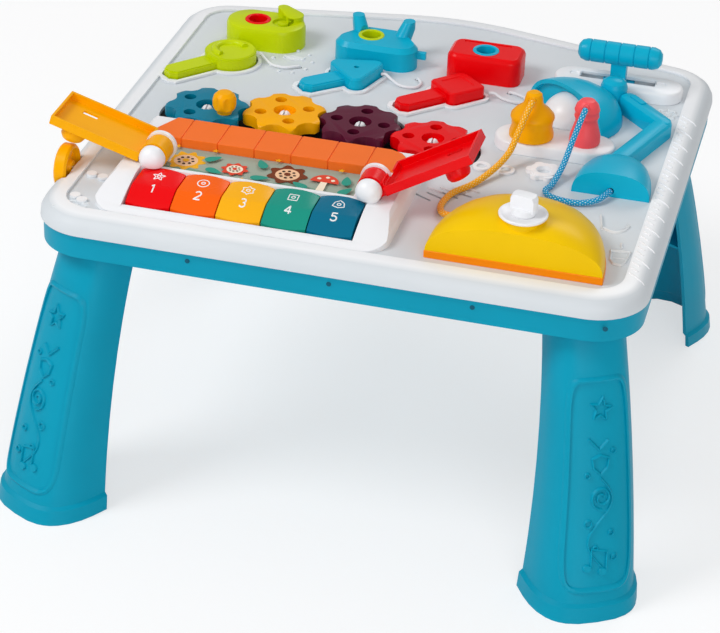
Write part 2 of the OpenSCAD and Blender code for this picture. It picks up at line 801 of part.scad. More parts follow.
module gear_posts() {
  color("white") up(dz)
    for (c = gear_c)
      translate([c[0], c[1], 0]) difference() {
        union() {
          up(tray_z - 3) cylinder(r = 2, h = 4);
          up(tray_z) cylinder(r = 8, h = gear_z - 0.05 - tray_z);
          cylinder(r = post_r, h = gear_t - 4.5);
          up(gear_z + gear_t - 4.85) turned([[0, 0], [post_r + 0.7, 0], [post_r + 0.7, 0.8],
            [post_r - 0.6, 3], [post_r - 2.4, 4.2], [0, 4.4]]);
        }
        translate([-0.7, -8, gear_z + 0.5]) cube([1.4, 16, 20]);
      }
}

function tooth(a) = gear_root + (gear_tip - gear_root) * pow(0.5 + 0.5 * cos(gear_n * a), 1.5);

module gear_blank(ph, ho) {
  up(gear_z) difference() {
    intersection() {
      linear_extrude(gear_t) rotate(ph)
        polygon([for (i = [0:159]) tooth(i * 2.25) * [cos(i * 2.25), sin(i * 2.25)]]);
      turned([[0, 0], [gear_tip - 1.4, 0], [gear_tip + 0.3, 1.6], [gear_tip + 0.3, gear_t - 2.6],
        [gear_tip - 1, gear_t - 1], [gear_tip - 3.4, gear_t], [0, gear_t]]);
    }
    up(-1) cylinder(r = post_r + run, h = 20);
    up(gear_t - 5) cylinder(r = 9, h = 6);
    for (i = [0:3])
      rotate(ph + ho + i * 90) translate([19.4, 0, -1]) cylinder(r = 4.8, h = 20);
  }
}

module gear_teal() {
  color("teal") up(dz) translate(gear_c[0]) gear_blank(ph_t, 45);
}

module gear_yellow() {
  color("gold") up(dz) translate(gear_c[1]) gear_blank(ph_y, 0);
}

module gear_maroon() {
  color("maroon") up(dz) translate(gear_c[2]) gear_blank(ph_m, 0);
}

module gear_red() {
  color("red") up(dz) translate(gear_c[3]) gear_blank(ph_r, 0);
}

// tooth of the middle pair meets a gap on the line of centres
ph_m = -2;
ph_y = 22.5 + 2;
ph_t = 16.6;
ph_r = 5.9;
crank_a = ph_t - 45;

module crank_knob() {
  color("gold") up(dz) translate(gear_c[0]) rotate(crank_a) translate([19.4, 0, 0]) {
    up(gear_z + 1) cylinder(r = 4.8, h = gear_t - 0.9);
    up(gear_z + gear_t) intersection() {
      turned([[0, 0], [6, 0], [6.4, 1.8], [8.6, 4.2], [9.6, 7.4], [9.6, 11.4], [8.4, 15], [5.6, 17.6],
        [0, 18.4]]);
      linear_extrude(30) polygon([for (i = [0:71])
        (8.9 + 0.8 * cos(i * 30)) * [cos(i * 5), sin(i * 5)]]);
    }
  }
}

// ---------- locks and toy keys ----------
lock_c = [[-155, 150], [-56, 150], [43, 145]];

module lock_hole(i) {
  translate([lock_c[i][0], lock_c[i][1], lock_h - 13]) cylinder(r = 11, h = 30);
  translate([lock_c[i][0], lock_c[i][1], 3]) cylinder(r = 7.5, h = 40);
}

module lock_green() {
  color("yellowgreen") up(dz) difference() {
    union() {
      pill([-161, 151], [-135, 151], 21, lock_h, 4);
      hull() {
        translate([-126, 160, lock_h - 6]) cylinder(r = 8, h = 10, $fn = 32);
        translate([-137, 166, lock_h - 6]) cylinder(r = 5, h = 13, $fn = 32);
      }
    }
    up(-1) linear_extrude(lock_h - 14.5) {
      translate([-161, 151]) circle(18);
      translate([-135, 151]) circle(18);
      translate([-161, 133]) square([26, 36]);
    }
    lock_hole(0);
    // curl cut into the top
    translate([-133, 150, lock_h - 2]) difference() {
      cylinder(r = 9, h = 5);
      up(-1) cylinder(r = 4.5, h = 8);
    }
  }
}

module lock_cyan() {
  color("darkturquoise") up(dz) difference() {
    union() {
      hull()
        for (c = [[-70, 141], [-28, 141], [-60, 155], [-38, 155]])
          translate([c[0], c[1], 0]) {
            cylinder(r = 14, h = lock_h - 4, $fn = 32);
            cylinder(r = 10.5, h = lock_h, $fn = 32);
          }
      for (s = [-1, 1])
        hull() {
          translate([-49 + s * 17, 158, lock_h - 10]) cylinder(r = 6.5, h = 8, $fn = 24);
          translate([-49 + s * 22, 164, lock_h + 4]) cylinder(r = 5, h = 7, $fn = 24);
        }
      translate([-16, 141, 8]) cube([9, 4, 6]);
    }
    up(-1) linear_extrude(lock_h - 14.5) translate([-76, 132]) square([54, 30]);
    lock_hole(1);
  }
}

module lock_red() {
  color("red") up(dz) difference() {
    hull()
      for (c = [[22, 138], [65, 138], [65, 156], [22, 156]])
        translate([c[0], c[1], 0]) {
          cylinder(r = 9.5, h = lock_h - 1, $fn = 32);
          cylinder(r = 8.4, h = lock_h + 1.4, $fn = 32);
          cylinder(r = 6, h = lock_h + 3, $fn = 32);
        }
    up(-1) linear_extrude(lock_h - 12.5) translate([16, 132]) square([55, 30]);
    up(3) lock_hole(2);
    translate([22, 157.5, lock_h + 1.4]) cube([40, 2.4, 4]);
  }
}

module sleeve(i, z) {
  up(dz) translate([lock_c[i][0], lock_c[i][1], lock_h - 12.95 + z])
    turned([[7.8, 0], [10.95, 0], [10.95, 13.2], [10.2, 13.8], [8.4, 13.8], [7.8, 13.2]]);
}

module sleeve_red() {
  color("red") sleeve(0, 0);
}

module sleeve_green() {
  color("yellowgreen") sleeve(1, 0);
}

module sleeve_cyan() {
  color("darkturquoise") sleeve(2, 3);
}

module toy_key(k, c, q, h, hs) {
  up(dz - 2.98) difference() {
    union() {
      linear_extrude(h - 1.2) key_head(k, c, q, 0);
      linear_extrude(h - 0.4) key_head(k, c, q, -0.7);
      linear_extrude(h) key_head(k, c, q, -1.7);
      linear_extrude(hs - 1) key_shaft(c, q, 0);
      linear_extrude(hs) key_shaft(c, q, -1);
    }
    up(-1) linear_extrude(h - 1.4) key_head(k, c, q, -2.2);
    up(-1) linear_extrude(hs - 1.4) key_shaft(c, q, -2.2);
    if (k == 1) {
      translate([c[0], c[1], 0]) cylinder(r = 2.2, h = 40);
    }
    if (k == 2) {
      up(h - 0.6) linear_extrude(4) key_head(k, c, q, -7);
    }
  }
  if (k == 0) {
    up(dz - 3.2 + h) translate([c[0], c[1], 0]) rotate(40)
      rotate_extrude(angle = 210, $fn = 48) translate([13, 0]) circle(3);
  }
}

module toy_key_green() {
  color("yellowgreen") toy_key(0, kg_c, kg_q, 15, 11);
}

module toy_key_cyan() {
  color("darkturquoise") toy_key(1, kc_c, kc_q, 15, 11);
}

module toy_key_red() {
  color("red") toy_key(2, kr_c, kr_q, 15, 11);
}

// ---------- sockets and plugs ----------
plug_y = [105, 28];
plug_p = [147, 30];

module socket_strip() {
  color("white") up(dz) difference() {
    pill([95, 30], [153, 30], 19, 10, 3);
    for (c = [plug_y, plug_p])
      translate([c[0], c[1], 2]) cylinder(r = 6.06, h = 20);
  }
}

module cord_boss(d, y) {
  translate([0, 0, 43]) rotate([90, 0, 0]) cylinder(r = d / 2 + 0.7, h = y);
}

module plug_yellow() {
  color("gold") up(dz) translate([plug_y[0], plug_y[1], 0]) {
    cord_boss(cord_d, 9);
    turned([
    [0, 3], [6, 3], [6, 10.02], [16.6, 10.02], [17.5, 11], [17.5, 14], [16, 19], [16.4, 24],
    [17.4, 27], [17, 29], [13.5, 33], [9.6, 36], [7.6, 39], [7, 43], [6.2, 46.4], [4, 48], [0, 48]]);
  }
}

module plug_pink() {
  color("salmon") up(dz) translate([plug_p[0], plug_p[1], 0]) {
    cord_boss(lamp_cord_d, 10.4);
    turned([
    [0, 3], [6, 3], [6, 10.02], [11.4, 10.02], [12.2, 11.4], [12, 17], [10.2, 23], [8.8, 28],
    [8.8, 31], [9.8, 33], [9.3, 36], [10, 38.6], [8.6, 43], [5.6, 46.4], [0, 47.6]]);
  }
}

// ---------- slider ----------
module slider_housing() {
  color("white") up(dz) difference() {
    pill([117.5, sl_y - 2], [190.5, sl_y - 2], 17, 10, 3);
    translate([sl_x - slide_half - 15, sl_y - 11, -1]) cube([2 * slide_half + 30, 22, 8]);
    translate([sl_x - slide_half - 7, sl_y - 5.6, -1]) cube([2 * slide_half + 14, 11.2, 20]);
    for (x = [sl_x - slide_half - 12, sl_x + slide_half + 12])
      translate([x, sl_y, 8.8]) cylinder(r = 4, h = 5);
  }
}

module slider_handle() {
  color("darkturquoise") up(dz) translate([sl_x, sl_y, 0]) {
    translate([-13, -10.4, 0.6]) cube([26, 20.8, 6]);
    translate([-6.4, -5, 5]) cube([12.8, 10, 21]);
    difference() {
      translate([-35, 0, 32]) rotate([0, 90, 0]) turned([
        [0, 0], [grip_r * 0.5, 0.6], [grip_r * 0.84, 3], [grip_r, 7.4], [grip_r, 62.6],
        [grip_r * 0.84, 67], [grip_r * 0.5, 69.4], [0, 70]]);
      for (i = [0:4])
        translate([-24.4 + i * 12, 0, 32]) rotate([0, 90, 0]) difference() {
          cylinder(r = grip_r + 1, h = 0.8);
          up(-1) cylinder(r = grip_r - 0.8, h = 4);
        }
    }
  }
}

// ---------- iron ----------
ir_x = 131;
ir_y = -170;
ir_w = 65;
ir_d = 88;
dial_x = 133;
dial_y = -153;
function iron_hz(t) = t > 0.2 ? sqrt(max(1 - pow((t - 0.2) / 0.8, 2), 0.0001))
  : 1 - 0.2 * pow((0.2 - t) / 0.2, 2);
function arch_ring(xc, y, w, zb, h, e, n) =
  [for (i = [0:n]) [xc + w * spow(cos(i * 180 / n), 2 / e), y, zb + h * spow(sin(i * 180 / n), 2 / e)]];

module iron_skin(g) {
  // g is the distance inside the outer skin
  loft([for (t = [0.998, 0.98, 0.94, 0.86, 0.74, 0.6, 0.46, 0.32, 0.2, 0.1, 0.03, 0])
    arch_ring(ir_x, ir_y + g + (ir_d - 2 * g) * t, (ir_w - g) * pow(1 - pow(t, 2.2), 0.5) + 0.01,
      6, (iron_h - 6 - g) * iron_hz(t) + 0.01, 2.3, 28)]);
}

module iron_body() {
  color("gold") up(dz) difference() {
    union() {
      iron_skin(0);
      translate([dial_x, dial_y, 8]) cylinder(r = 15, h = iron_h - 8 + 0.4);
    }
    translate([dial_x, dial_y, iron_h - 14]) cylinder(r = 3.05, h = 20);
    // entry of the cord
    translate([82, -116, 8.6]) rotate([0, -90, 0]) cylinder(r = cord_d / 2 + 0.3, h = 12);
  }
}

module iron_band() {
  color("darkorange") up(dz) difference() {
    linear_extrude(6) polygon(concat(
      [for (i = [0:40]) let (a = i * 180 / 40) [ir_x + (ir_w + 0.6) * cos(a),
        ir_y - 0.4 + (ir_d + 0.8) * pow(sin(a), 0.91)]]));
    translate([dial_x, dial_y, -1]) cylinder(r = 10, h = 20);
  }
}

module iron_dish() {
  color("white") up(dz) translate([dial_x, dial_y, iron_h + 0.4]) difference() {
    turned([[0, 0], [16, 0], [18, 1.4], [18, 3], [16.4, 3.4], [14, 2.4], [0, 2.4]]);
    up(-1) cylinder(r = 3.05, h = 10);
  }
}

module iron_dial() {
  color("white") up(dz) translate([dial_x, dial_y, 0]) {
    up(iron_h - 13) cylinder(r = 3, h = 17);
    up(iron_h + 2.9) turned([[0, 0], [9, 0], [9.4, 1], [8.6, 5], [0, 5.6]]);
    up(iron_h + 6) rotate(-12) intersection() {
      translate([-10, -4.6, 0]) cube([20, 9.2, 13]);
      turned([[0, 0], [10, 0], [10, 9], [8.6, 12], [0, 13]]);
    }
  }
}

// ---------- lamp ----------
lamp_m = [122, 85];
lamp_a = -39.2;
function lamp_w(t) = sqrt(max(1 - t * t, 0.0001));

module lamp_skin(g, d) {
  loft([for (t = [0.998, 0.97, 0.9, 0.8, 0.66, 0.5, 0.34, 0.18, 0.06, 0])
    arch_ring(0, d + (46 - g - d) * t, (45 - g) * pow(lamp_w(t), 0.9) + 0.01, 0,
      (lamp_h - g) * pow(lamp_w(t), 0.8) + 0.01, 2.2, 24)]);
}

module at_lamp() {
  translate([lamp_m[0], lamp_m[1], 0]) rotate(lamp_a) children();
}

module lamp_head() {
  color("darkturquoise") up(dz) at_lamp() difference() {
    lamp_skin(0, 0);
    intersection() {
      translate([0, 0, -0.5]) lamp_skin(3, -1);
      translate([-50, -5, -2]) cube([100, 9, 50]);
    }
    translate([0, 4, 0]) sphere(r = 22.3, $fn = 64);
  }
}

module lamp_bulb() {
  color("white") up(dz) at_lamp() intersection() {
    translate([0, 4, 0]) sphere(r = 22, $fn = 64);
    translate([-40, -40, 0]) cube([80, 80, 30]);
  }
}

module lamp_arm() {
  color("darkturquoise") up(dz) difference() {
    union() {
      pill([178, 12], [201, 81], 7.4, 14, 4);
      pill([201, 81], [168, 116], 7.4, 15, 4);
      translate([177, 109, 0]) rotate(-47) translate([-8.2, -3, 0]) cube([16.4, 5, 15.9]);
      // lobe behind the head
      at_lamp() translate([0, 51, 0])
        turned([[0, 0], [11, 0], [11, 17], [9.6, 21], [6.4, 23.4], [0, 24]]);
    }
    at_lamp() lamp_skin(-0.05, 0);
    lamp_base_skin(-0.05);
  }
}

module lamp_base_skin(g) {
  loft([for (t = [0.998, 0.97, 0.9, 0.78, 0.62, 0.44, 0.28, 0.12, 0])
    arch_ring(179, -35 + g + (53 - 2 * g) * t, (30 - g) * pow(1 - pow(t, 2.4), 0.5) + 0.01, 0,
      (20 - g) * pow(1 - pow(abs(t - 0.25) / 0.75, 3), 0.5) + 0.01, 2.6, 22)]);
}

module lamp_base() {
  color("darkturquoise") up(dz) difference() {
    lamp_base_skin(0);
    translate([0, 0, -0.6]) lamp_base_skin(2.6);
    translate([179, -28, 5]) rotate([90, 0, 0]) cylinder(r = lamp_cord_d / 2 + 0.3, h = 12);
  }
}

// ---------- cords ----------
iron_route = [[105, 18.7, 43], [104.9, 15, 42.4], [103, 10, 37], [99, 0, 24], [95, -11, 12],
  [88, -30, 6.6], [77, -52, 2.9], [65, -72, 2.9], [61, -91, 2.9], [63, -103, 3.2], [69, -112, 5.6],
  [79, -116, 8.6]];
lamp_route = [[147, 19, 43], [146.6, 15, 42], [144.6, 8, 35], [141, -1, 21], [138, -14, 9],
  [134, -34, 2.8], [131, -45, 2.6], [136, -53, 2.6], [147, -57, 2.6], [160, -57, 2.8],
  [172, -50, 4], [179, -35, 5]];
tether_g = [[-146, 113.7, 5], [-142, 115, 5], [-136, 111, 2.4], [-129, 105, 1.5], [-118, 103, 1.5],
  [-109, 108, 1.6], [-107, 110, 0.6], [-107, 110.4, -2.4]];
tether_c = [[-36.9, 109.4, 5], [-33, 110, 5], [-26, 106, 2.4], [-17, 100, 1.5], [-6, 101, 1.5],
  [-3, 109, 1.5], [-6, 116, 1.6], [-8, 119, 0.6], [-8.2, 119.4, -2.4]];
tether_r = [[55, 103, 5], [60, 104, 5], [67, 102, 2.4], [79, 100, 1.5], [87, 104, 1.5],
  [83, 112, 1.5], [72, 117, 1.6], [70, 118, 0.6], [69.6, 118.2, -2.4]];

module iron_cord() {
  color("gold") up(dz) tube(iron_route, 3, cord_d, 10);
}

module lamp_cord() {
  color("steelblue") up(dz) tube(lamp_route, 3, lamp_cord_d, 10);
}

module tether_green() {
  color("white") up(dz) tube(tether_g, 4, tether_d, 8);
}

module tether_cyan() {
  color("white") up(dz) tube(tether_c, 4, tether_d, 8);
}

module tether_red() {
  color("white") up(dz) tube(tether_r, 4, tether_d, 8);
}

/* [Parts] */
// Node drawn on its own, or all

top_shell();
base_shell();
leg_front_left();
leg_front_right();
leg_rear_left();
leg_rear_right();
shell_screws();
battery_door();
batteries();
battery_contacts();
circuit_board();
key_switches();
speaker();
piano_housing();
picture_panel();
roof_tiles();
key_rod();
steel_pins();
piano_key_1();
piano_key_2();
piano_key_3();
piano_key_4();
piano_key_5();
door_left();
door_right();
edge_wheel();
gear_tray();
gear_posts();
gear_teal();
gear_yellow();
gear_maroon();
gear_red();
crank_knob();
lock_green();
lock_cyan();
lock_red();
sleeve_red();
sleeve_green();
sleeve_cyan();
toy_key_green();
toy_key_cyan();
toy_key_red();
socket_strip();
plug_yellow();
plug_pink();
slider_housing();
slider_handle();
iron_body();
iron_band();
iron_dish();
iron_dial();
lamp_head();
lamp_bulb();
lamp_arm();
lamp_base();
iron_cord();
lamp_cord();
tether_green();
tether_cyan();
tether_red();
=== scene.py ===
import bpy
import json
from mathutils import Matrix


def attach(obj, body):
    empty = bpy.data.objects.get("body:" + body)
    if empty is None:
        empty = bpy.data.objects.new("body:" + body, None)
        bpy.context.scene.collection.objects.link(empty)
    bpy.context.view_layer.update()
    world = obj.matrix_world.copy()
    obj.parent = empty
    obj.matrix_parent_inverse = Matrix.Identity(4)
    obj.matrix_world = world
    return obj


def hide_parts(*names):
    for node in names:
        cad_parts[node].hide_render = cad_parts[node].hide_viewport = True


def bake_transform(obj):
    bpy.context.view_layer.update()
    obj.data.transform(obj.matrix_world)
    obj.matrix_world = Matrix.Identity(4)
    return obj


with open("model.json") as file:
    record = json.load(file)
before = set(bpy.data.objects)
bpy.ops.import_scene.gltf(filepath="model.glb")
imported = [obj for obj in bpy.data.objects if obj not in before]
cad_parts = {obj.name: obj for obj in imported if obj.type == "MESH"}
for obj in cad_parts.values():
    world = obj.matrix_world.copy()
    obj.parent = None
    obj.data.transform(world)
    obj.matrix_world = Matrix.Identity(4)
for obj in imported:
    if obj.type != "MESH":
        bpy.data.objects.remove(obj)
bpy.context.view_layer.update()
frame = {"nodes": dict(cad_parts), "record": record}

import bpy, bmesh, json, math
import numpy as np
from mathutils import Matrix, Vector

nodes = frame["nodes"]
scene = bpy.context.scene
print("frame loaded:", len(nodes), "solids")

# turns in degrees, lens and film in millimetres, place and reach in metres
shot = dict(yaw=13.41, pitch=30.83, roll=2.41, place=(0.377, -1.665, 1.095), lens=121.4, film=36, reach=30)


def aimCamera():
    # yaw and pitch give the way ahead; side and top are turned about it by the roll
    y, p, r = (math.radians(shot[k]) for k in ("yaw", "pitch", "roll"))
    ahead = np.array([-math.sin(y) * math.cos(p), math.cos(y) * math.cos(p), -math.sin(p)])
    side = np.array([math.cos(y), math.sin(y), 0.0])
    top = np.cross(side, ahead)
    right = math.cos(r) * side + math.sin(r) * top
    up = -math.sin(r) * side + math.cos(r) * top
    data = bpy.data.cameras.new("tableCamera")
    data.sensor_fit = "HORIZONTAL"
    data.sensor_width = shot["film"]
    data.lens = shot["lens"]
    data.clip_end = shot["reach"]
    cam = bpy.data.objects.new("tableCamera", data)
    scene.collection.objects.link(cam)
    m = np.eye(4)
    m[:3, 0], m[:3, 1], m[:3, 2], m[:3, 3] = right, up, -ahead, shot["place"]
    cam.matrix_world = Matrix(m.tolist())
    scene.camera = cam


aimCamera()
scene.view_settings.view_transform = "Standard"


def lin(hexText):
    # sRGB to linear light: v / 12.92 when dark, otherwise (v + 0.055) / 1.055 to the power 2.4
    v = np.array([int(hexText[i:i + 2], 16) / 255 for i in (1, 3, 5)])
    v = np.where(v <= 0.04045, v / 12.92, ((v + 0.055) / 1.055) ** 2.4)
    return tuple(float(c) for c in v) + (1.0,)


# a socket that can be added, taken away and multiplied; each sign adds one Math node
class Sig:
    def __init__(self, tree, out):
        self.tree, self.out = tree, out

    def also(self, output):
        # another output of the same node
        return Sig(self.tree, self.out.node.outputs[output])

    def sign(self, kind, *terms):
        n = self.tree.nodes.new("ShaderNodeMath")
        n.operation = kind
        for socket, term in zip(n.inputs, terms):
            if isinstance(term, Sig):
                self.tree.links.new(term.out, socket)
            else:
                socket.default_value = term
        return Sig(self.tree, n.outputs[0])

    def __add__(self, o): return self.sign("ADD", self, o)
    def __radd__(self, o): return self.sign("ADD", o, self)
    def __sub__(self, o): return self.sign("SUBTRACT", self, o)
    def __rsub__(self, o): return self.sign("SUBTRACT", o, self)
    def __mul__(self, o): return self.sign("MULTIPLY", self, o)
    def __rmul__(self, o): return self.sign("MULTIPLY", o, self)


# a material in the making; fixed holds the values on the shader's own sockets
class Finish:
    def __init__(self, name, fixed):
        self.mat = bpy.data.materials.new(name)
        self.mat.use_nodes = True
        self.tree = self.mat.node_tree
        self.shader = self.tree.nodes["Principled BSDF"]
        for socket, value in fixed.items():
            self.shader.inputs[socket].default_value = value

    def node(self, kind, settings=None, inputs=None, take=0):
        # any node: its settings first, then the values or links of its sockets
        n = self.tree.nodes.new("ShaderNode" + kind)
        for k, v in (settings or {}).items():
            if k == "stops":
                ramp = n.color_ramp
                while len(ramp.elements) < len(v):
                    ramp.elements.new(0.5)
                for e, (at, colour) in zip(ramp.elements, v):
                    e.position, e.color = at, colour
            else:
                setattr(n, k, v)
        for k, v in (inputs or {}).items():
            if isinstance(v, Sig):
                self.tree.links.new(v.out, n.inputs[k])
            else:
                n.inputs[k].default_value = v
        return Sig(self.tree, n.outputs[take])

    def feed(self, socket, sig):
        self.tree.links.new(sig.out, self.shader.inputs[socket])

    def place(self, size=(1, 1, 1)):
        # the piece's own coordinates in metres, stretched by size
        here = self.node("TexCoord", take="Object")
        return self.node("Mapping", None, {"Vector": here, "Scale": size})

    def noise(self, scale, detail=2.0, where=None):
        where = where or self.place()
        return self.node("TexNoise", None, {"Vector": where, "Scale": scale, "Detail": detail})

    def ramp(self, fac, low, high):
        # colour from one stop to the other, each a place and a colour
        return self.node("ValToRGB", {"stops": [low, high]}, {"Fac": fac})

    def bump(self, height, strength, distance):
        bent = self.node("Bump", None, {"Height": height, "Strength": strength, "Distance": distance})
        self.feed("Normal", bent)


finishes = {}

# the deck's floor is painted a shade greyer than its rim, as painted shade in the recess, and is rougher than the
# rim; heights in metres
deckLook = dict(floor="#DADFE3", rim="#F6F7F9", low=0.2362, high=0.2377, cool=(0.96, 0.97, 0.98, 1), shine=0.4,
                drift=11.0, rough=0.5, polish=0.2, patchy=0.06, grain=1500.0, peel=0.14, depth=0.00012)


def deckFinish():
    # painted shade: floor to rim by height, the floor's greyer colour standing in for the shade in the recess,
    # multiplied by a slow drift; the rim is the smoother
    look = deckLook
    f = Finish("deck_white", {"Specular IOR Level": look["shine"]})
    z = f.node("SeparateXYZ", None, {"Vector": f.place()}, "Z")
    raised = f.node("MapRange", None, {"Value": z, "From Min": look["low"], "From Max": look["high"]})
    slow = f.noise(look["drift"], 3.0)
    # painted shade: the floor colour is the rim's white greyed, for the shade that falls in the recess
    colours = {"Fac": raised, "Color1": lin(look["floor"]), "Color2": lin(look["rim"])}
    shadedTone = f.node("MixRGB", None, colours)
    drift = f.ramp(slow, (0.3, look["cool"]), (0.7, (1, 1, 1, 1)))
    both = {"Fac": 1.0, "Color1": shadedTone, "Color2": drift}
    f.feed("Base Color", f.node("MixRGB", {"blend_type": "MULTIPLY"}, both))
    f.feed("Roughness", look["rough"] - raised * look["polish"] + slow * look["patchy"])
    f.bump(f.noise(look["grain"]), look["peel"], look["depth"])
    finishes["deck_white"] = f.mat


# what every moulded piece shares: patches across a metre, how far they lighten, their gloss, skin in metres
skin = dict(drift=14.0, lighten=0.6, patchy=0.35, least=0.83, depth=0.00012)


def moulded(name, colour, rough=0.3, shift=0.05, peel=0.12, grain=900.0, shine=0.18):
    # colour times 1 - shift to 1 + lighten shift in slow patches; roughness follows the same patches
    f = Finish(name, {"Roughness": rough, "Specular IOR Level": shine})
    c = np.array(lin(colour))
    dark = tuple(float(x) for x in c * (1 - shift))[:3] + (1.0,)
    light = tuple(float(min(1, x)) for x in c * (1 + shift * skin["lighten"]))[:3] + (1.0,)
    slow = f.noise(skin["drift"], 3.0)
    f.feed("Base Color", f.ramp(slow, (0.3, dark), (0.7, light)))
    f.feed("Roughness", slow * (rough * skin["patchy"]) + rough * skin["least"])
    f.bump(f.noise(grain), peel, skin["depth"])
    finishes[name] = f.mat


def metal(name, colour, rough, lines=500.0, finer=12, swing=0.2, drop=0.08):
    # drawn lines: roughness from a noise that is finer times as fine along z
    f = Finish(name, {"Metallic": 1.0, "Roughness": rough, "Base Color": lin(colour)})
    drawn = f.noise(lines, where=f.place((1, 1, finer)))
    f.feed("Roughness", drawn * swing + (rough - drop))
    finishes[name] = f.mat


def braided(name, thread, fleck, perMetre=270.0, depth=0.0006):
    # two sets of slanted threads: fract(along + around) and fract(along - around), peaks multiplied
    f = Finish(name, {"Roughness": 0.7, "Sheen Weight": 0.08, "Specular IOR Level": 0.15})
    along = f.node("SeparateXYZ", None, {"Vector": f.node("UVMap", {"uv_map": "UVMap"})}, "X")
    around = along.also("Y")
    one = f.node("Math", {"operation": "FRACT"}, {0: along * perMetre + around})
    two = f.node("Math", {"operation": "FRACT"}, {0: along * perMetre - around})
    peak = [f.node("Math", {"operation": "ABSOLUTE"}, {0: wave - 0.5}) for wave in (one, two)]
    strand = peak[0] * peak[1] * 4.0
    f.feed("Base Color", f.ramp(strand, (0.42, lin(thread)), (0.68, lin(fleck))))
    f.bump(strand, 0.6, depth)
    finishes[name] = f.mat


mouldings = {
    "white_abs": dict(colour="#F3F4F7", shift=0.02, peel=0.10, shine=0.4),
    "teal_pp": dict(colour="#009AB8", rough=0.42, peel=0.25, grain=1400.0, shine=0.14),
    "lime_abs": dict(colour="#C6D800"),
    "cyan_abs": dict(colour="#04B2D4"),
    "red_abs": dict(colour="#F00008", rough=0.26),
    "yellow_abs": dict(colour="#FFB000", shine=0.12),
    "iron_yellow": dict(colour="#F6C800", rough=0.32, shine=0.12),
    "orange_abs": dict(colour="#FB7526", rough=0.34),
    "band_amber": dict(colour="#FF8E00", rough=0.32),
    "amber_key": dict(colour="#FFB414", rough=0.26),
    "orange_key": dict(colour="#FF6406", rough=0.26),
    "green_key": dict(colour="#1A9683", rough=0.26),
    "blue_key": dict(colour="#006E8E", rough=0.26),
    "teal_gear": dict(colour="#007E9C", rough=0.28),
    "maroon_abs": dict(colour="#5C1430", rough=0.26),
    "pink_abs": dict(colour="#FF5A60", rough=0.32),
    "black_tray": dict(colour="#16181A", rough=0.5),
    "print_card": dict(colour="#A4AF9F", rough=0.5),
    "cell_wrap": dict(colour="#D06A20", rough=0.4),
    "board": dict(colour="#1B6B3A", rough=0.5),
    "grey_rubber": dict(colour="#8A8C8E", rough=0.7),
    "speaker_black": dict(colour="#202224", rough=0.7),
    "white_cord": dict(colour="#E9EAEE", rough=0.5),
    "deck_mark": dict(colour="#E4E8EB", rough=0.34, shift=0.02, peel=0.08, shine=0.4),
    "print_white": dict(colour="#F2F2F2", rough=0.35),
    # a darker teal, painted shade for the screw holes in the tray's front
    "screw_hole_shade": dict(colour="#0A5A72", rough=0.5),
}
for name, look in mouldings.items():
    moulded(name, **look)
paints = dict(paintMoss="#7FA08C", paintGold="#F5B324", paintSkin="#F8C9A0", paintBrown="#7A3A1E",
              paintRed="#E2492F", paintCream="#FBEBD2", paintInk="#3A2A24", paintLeaf="#2F9A86")
for paint, colour in paints.items():
    moulded(paint, colour, rough=0.55, shift=0.03, peel=0.05)
metal("steel", "#C8CACC", 0.28)
deckFinish()
braided("braid_yellow", "#FFB000", "#FFF0B0")
braided("braid_blue", "#0A9CCF", "#E4F6FB")
print("finishes mixed:", len(finishes))

# edges rounded by width in metres wherever two faces meet at more than angle in degrees
soften = dict(width=0.0007, segments=2, angle=32.0, weld=2e5, flat=0.6)
hidden = {"shell_screws", "batteries", "battery_contacts", "circuit_board", "key_switches", "speaker",
          "key_rod", "steel_pins"}  # never seen, so only painted
repaint = {"piano_key_2": "orange_key", "iron_band": "band_amber", "top_shell": "deck_white"}
slotOf = {s["node"]: s["material_slot"] for s in frame["record"]["subparts"]}
bodyOf = {n: b for b, members in frame["record"]["behaviour"]["bodies"].items() for n in members}


def smoothed(mesh, angle):
    # smooth shading, with the edges over angle left sharp
    mesh.polygons.foreach_set("use_smooth", np.ones(len(mesh.polygons), bool))
    mesh.set_sharp_from_angle(angle=math.radians(angle))


def placed(name, mesh, finish):
    # an object at the origin, its place being in its mesh
    piece = bpy.data.objects.new(name, mesh)
    scene.collection.objects.link(piece)
    dress(piece, finish)
    return piece


def dress(piece, finish):
    piece.data.materials.clear()
    piece.data.materials.append(finishes[finish])


def softCopy(node, finish):
    # corners rounded to 1 / weld metres and merged, coplanar faces joined, edges bevelled
    src = nodes[node].data
    co = np.zeros(len(src.vertices) * 3, np.float32)
    src.vertices.foreach_get("co", co)
    tri = np.zeros(len(src.loops), np.int32)
    src.loops.foreach_get("vertex_index", tri)
    cells = np.round(co.reshape(-1, 3) * soften["weld"]).astype(np.int64)
    corner, back = np.unique(cells, axis=0, return_inverse=True)
    tri = back.reshape(-1)[tri].reshape(-1, 3)
    whole = (tri[:, 0] != tri[:, 1]) & (tri[:, 1] != tri[:, 2]) & (tri[:, 0] != tri[:, 2])
    mesh = bpy.data.meshes.new(node + "_soft")
    mesh.from_pydata((corner / soften["weld"]).tolist(), [], tri[whole].tolist())
    bm = bmesh.new()
    bm.from_mesh(mesh)
    bmesh.ops.dissolve_limit(bm, angle_limit=math.radians(soften["flat"]), verts=bm.verts, edges=bm.edges)
    bm.to_mesh(mesh)
    bm.free()
    smoothed(mesh, soften["angle"])
    piece = placed(node + "_soft", mesh, finish)
    bevel = piece.modifiers.new("edges", "BEVEL")
    bevel.width, bevel.segments, bevel.limit_method = soften["width"], soften["segments"], "ANGLE"
    bevel.angle_limit = math.radians(soften["angle"])
    return piece


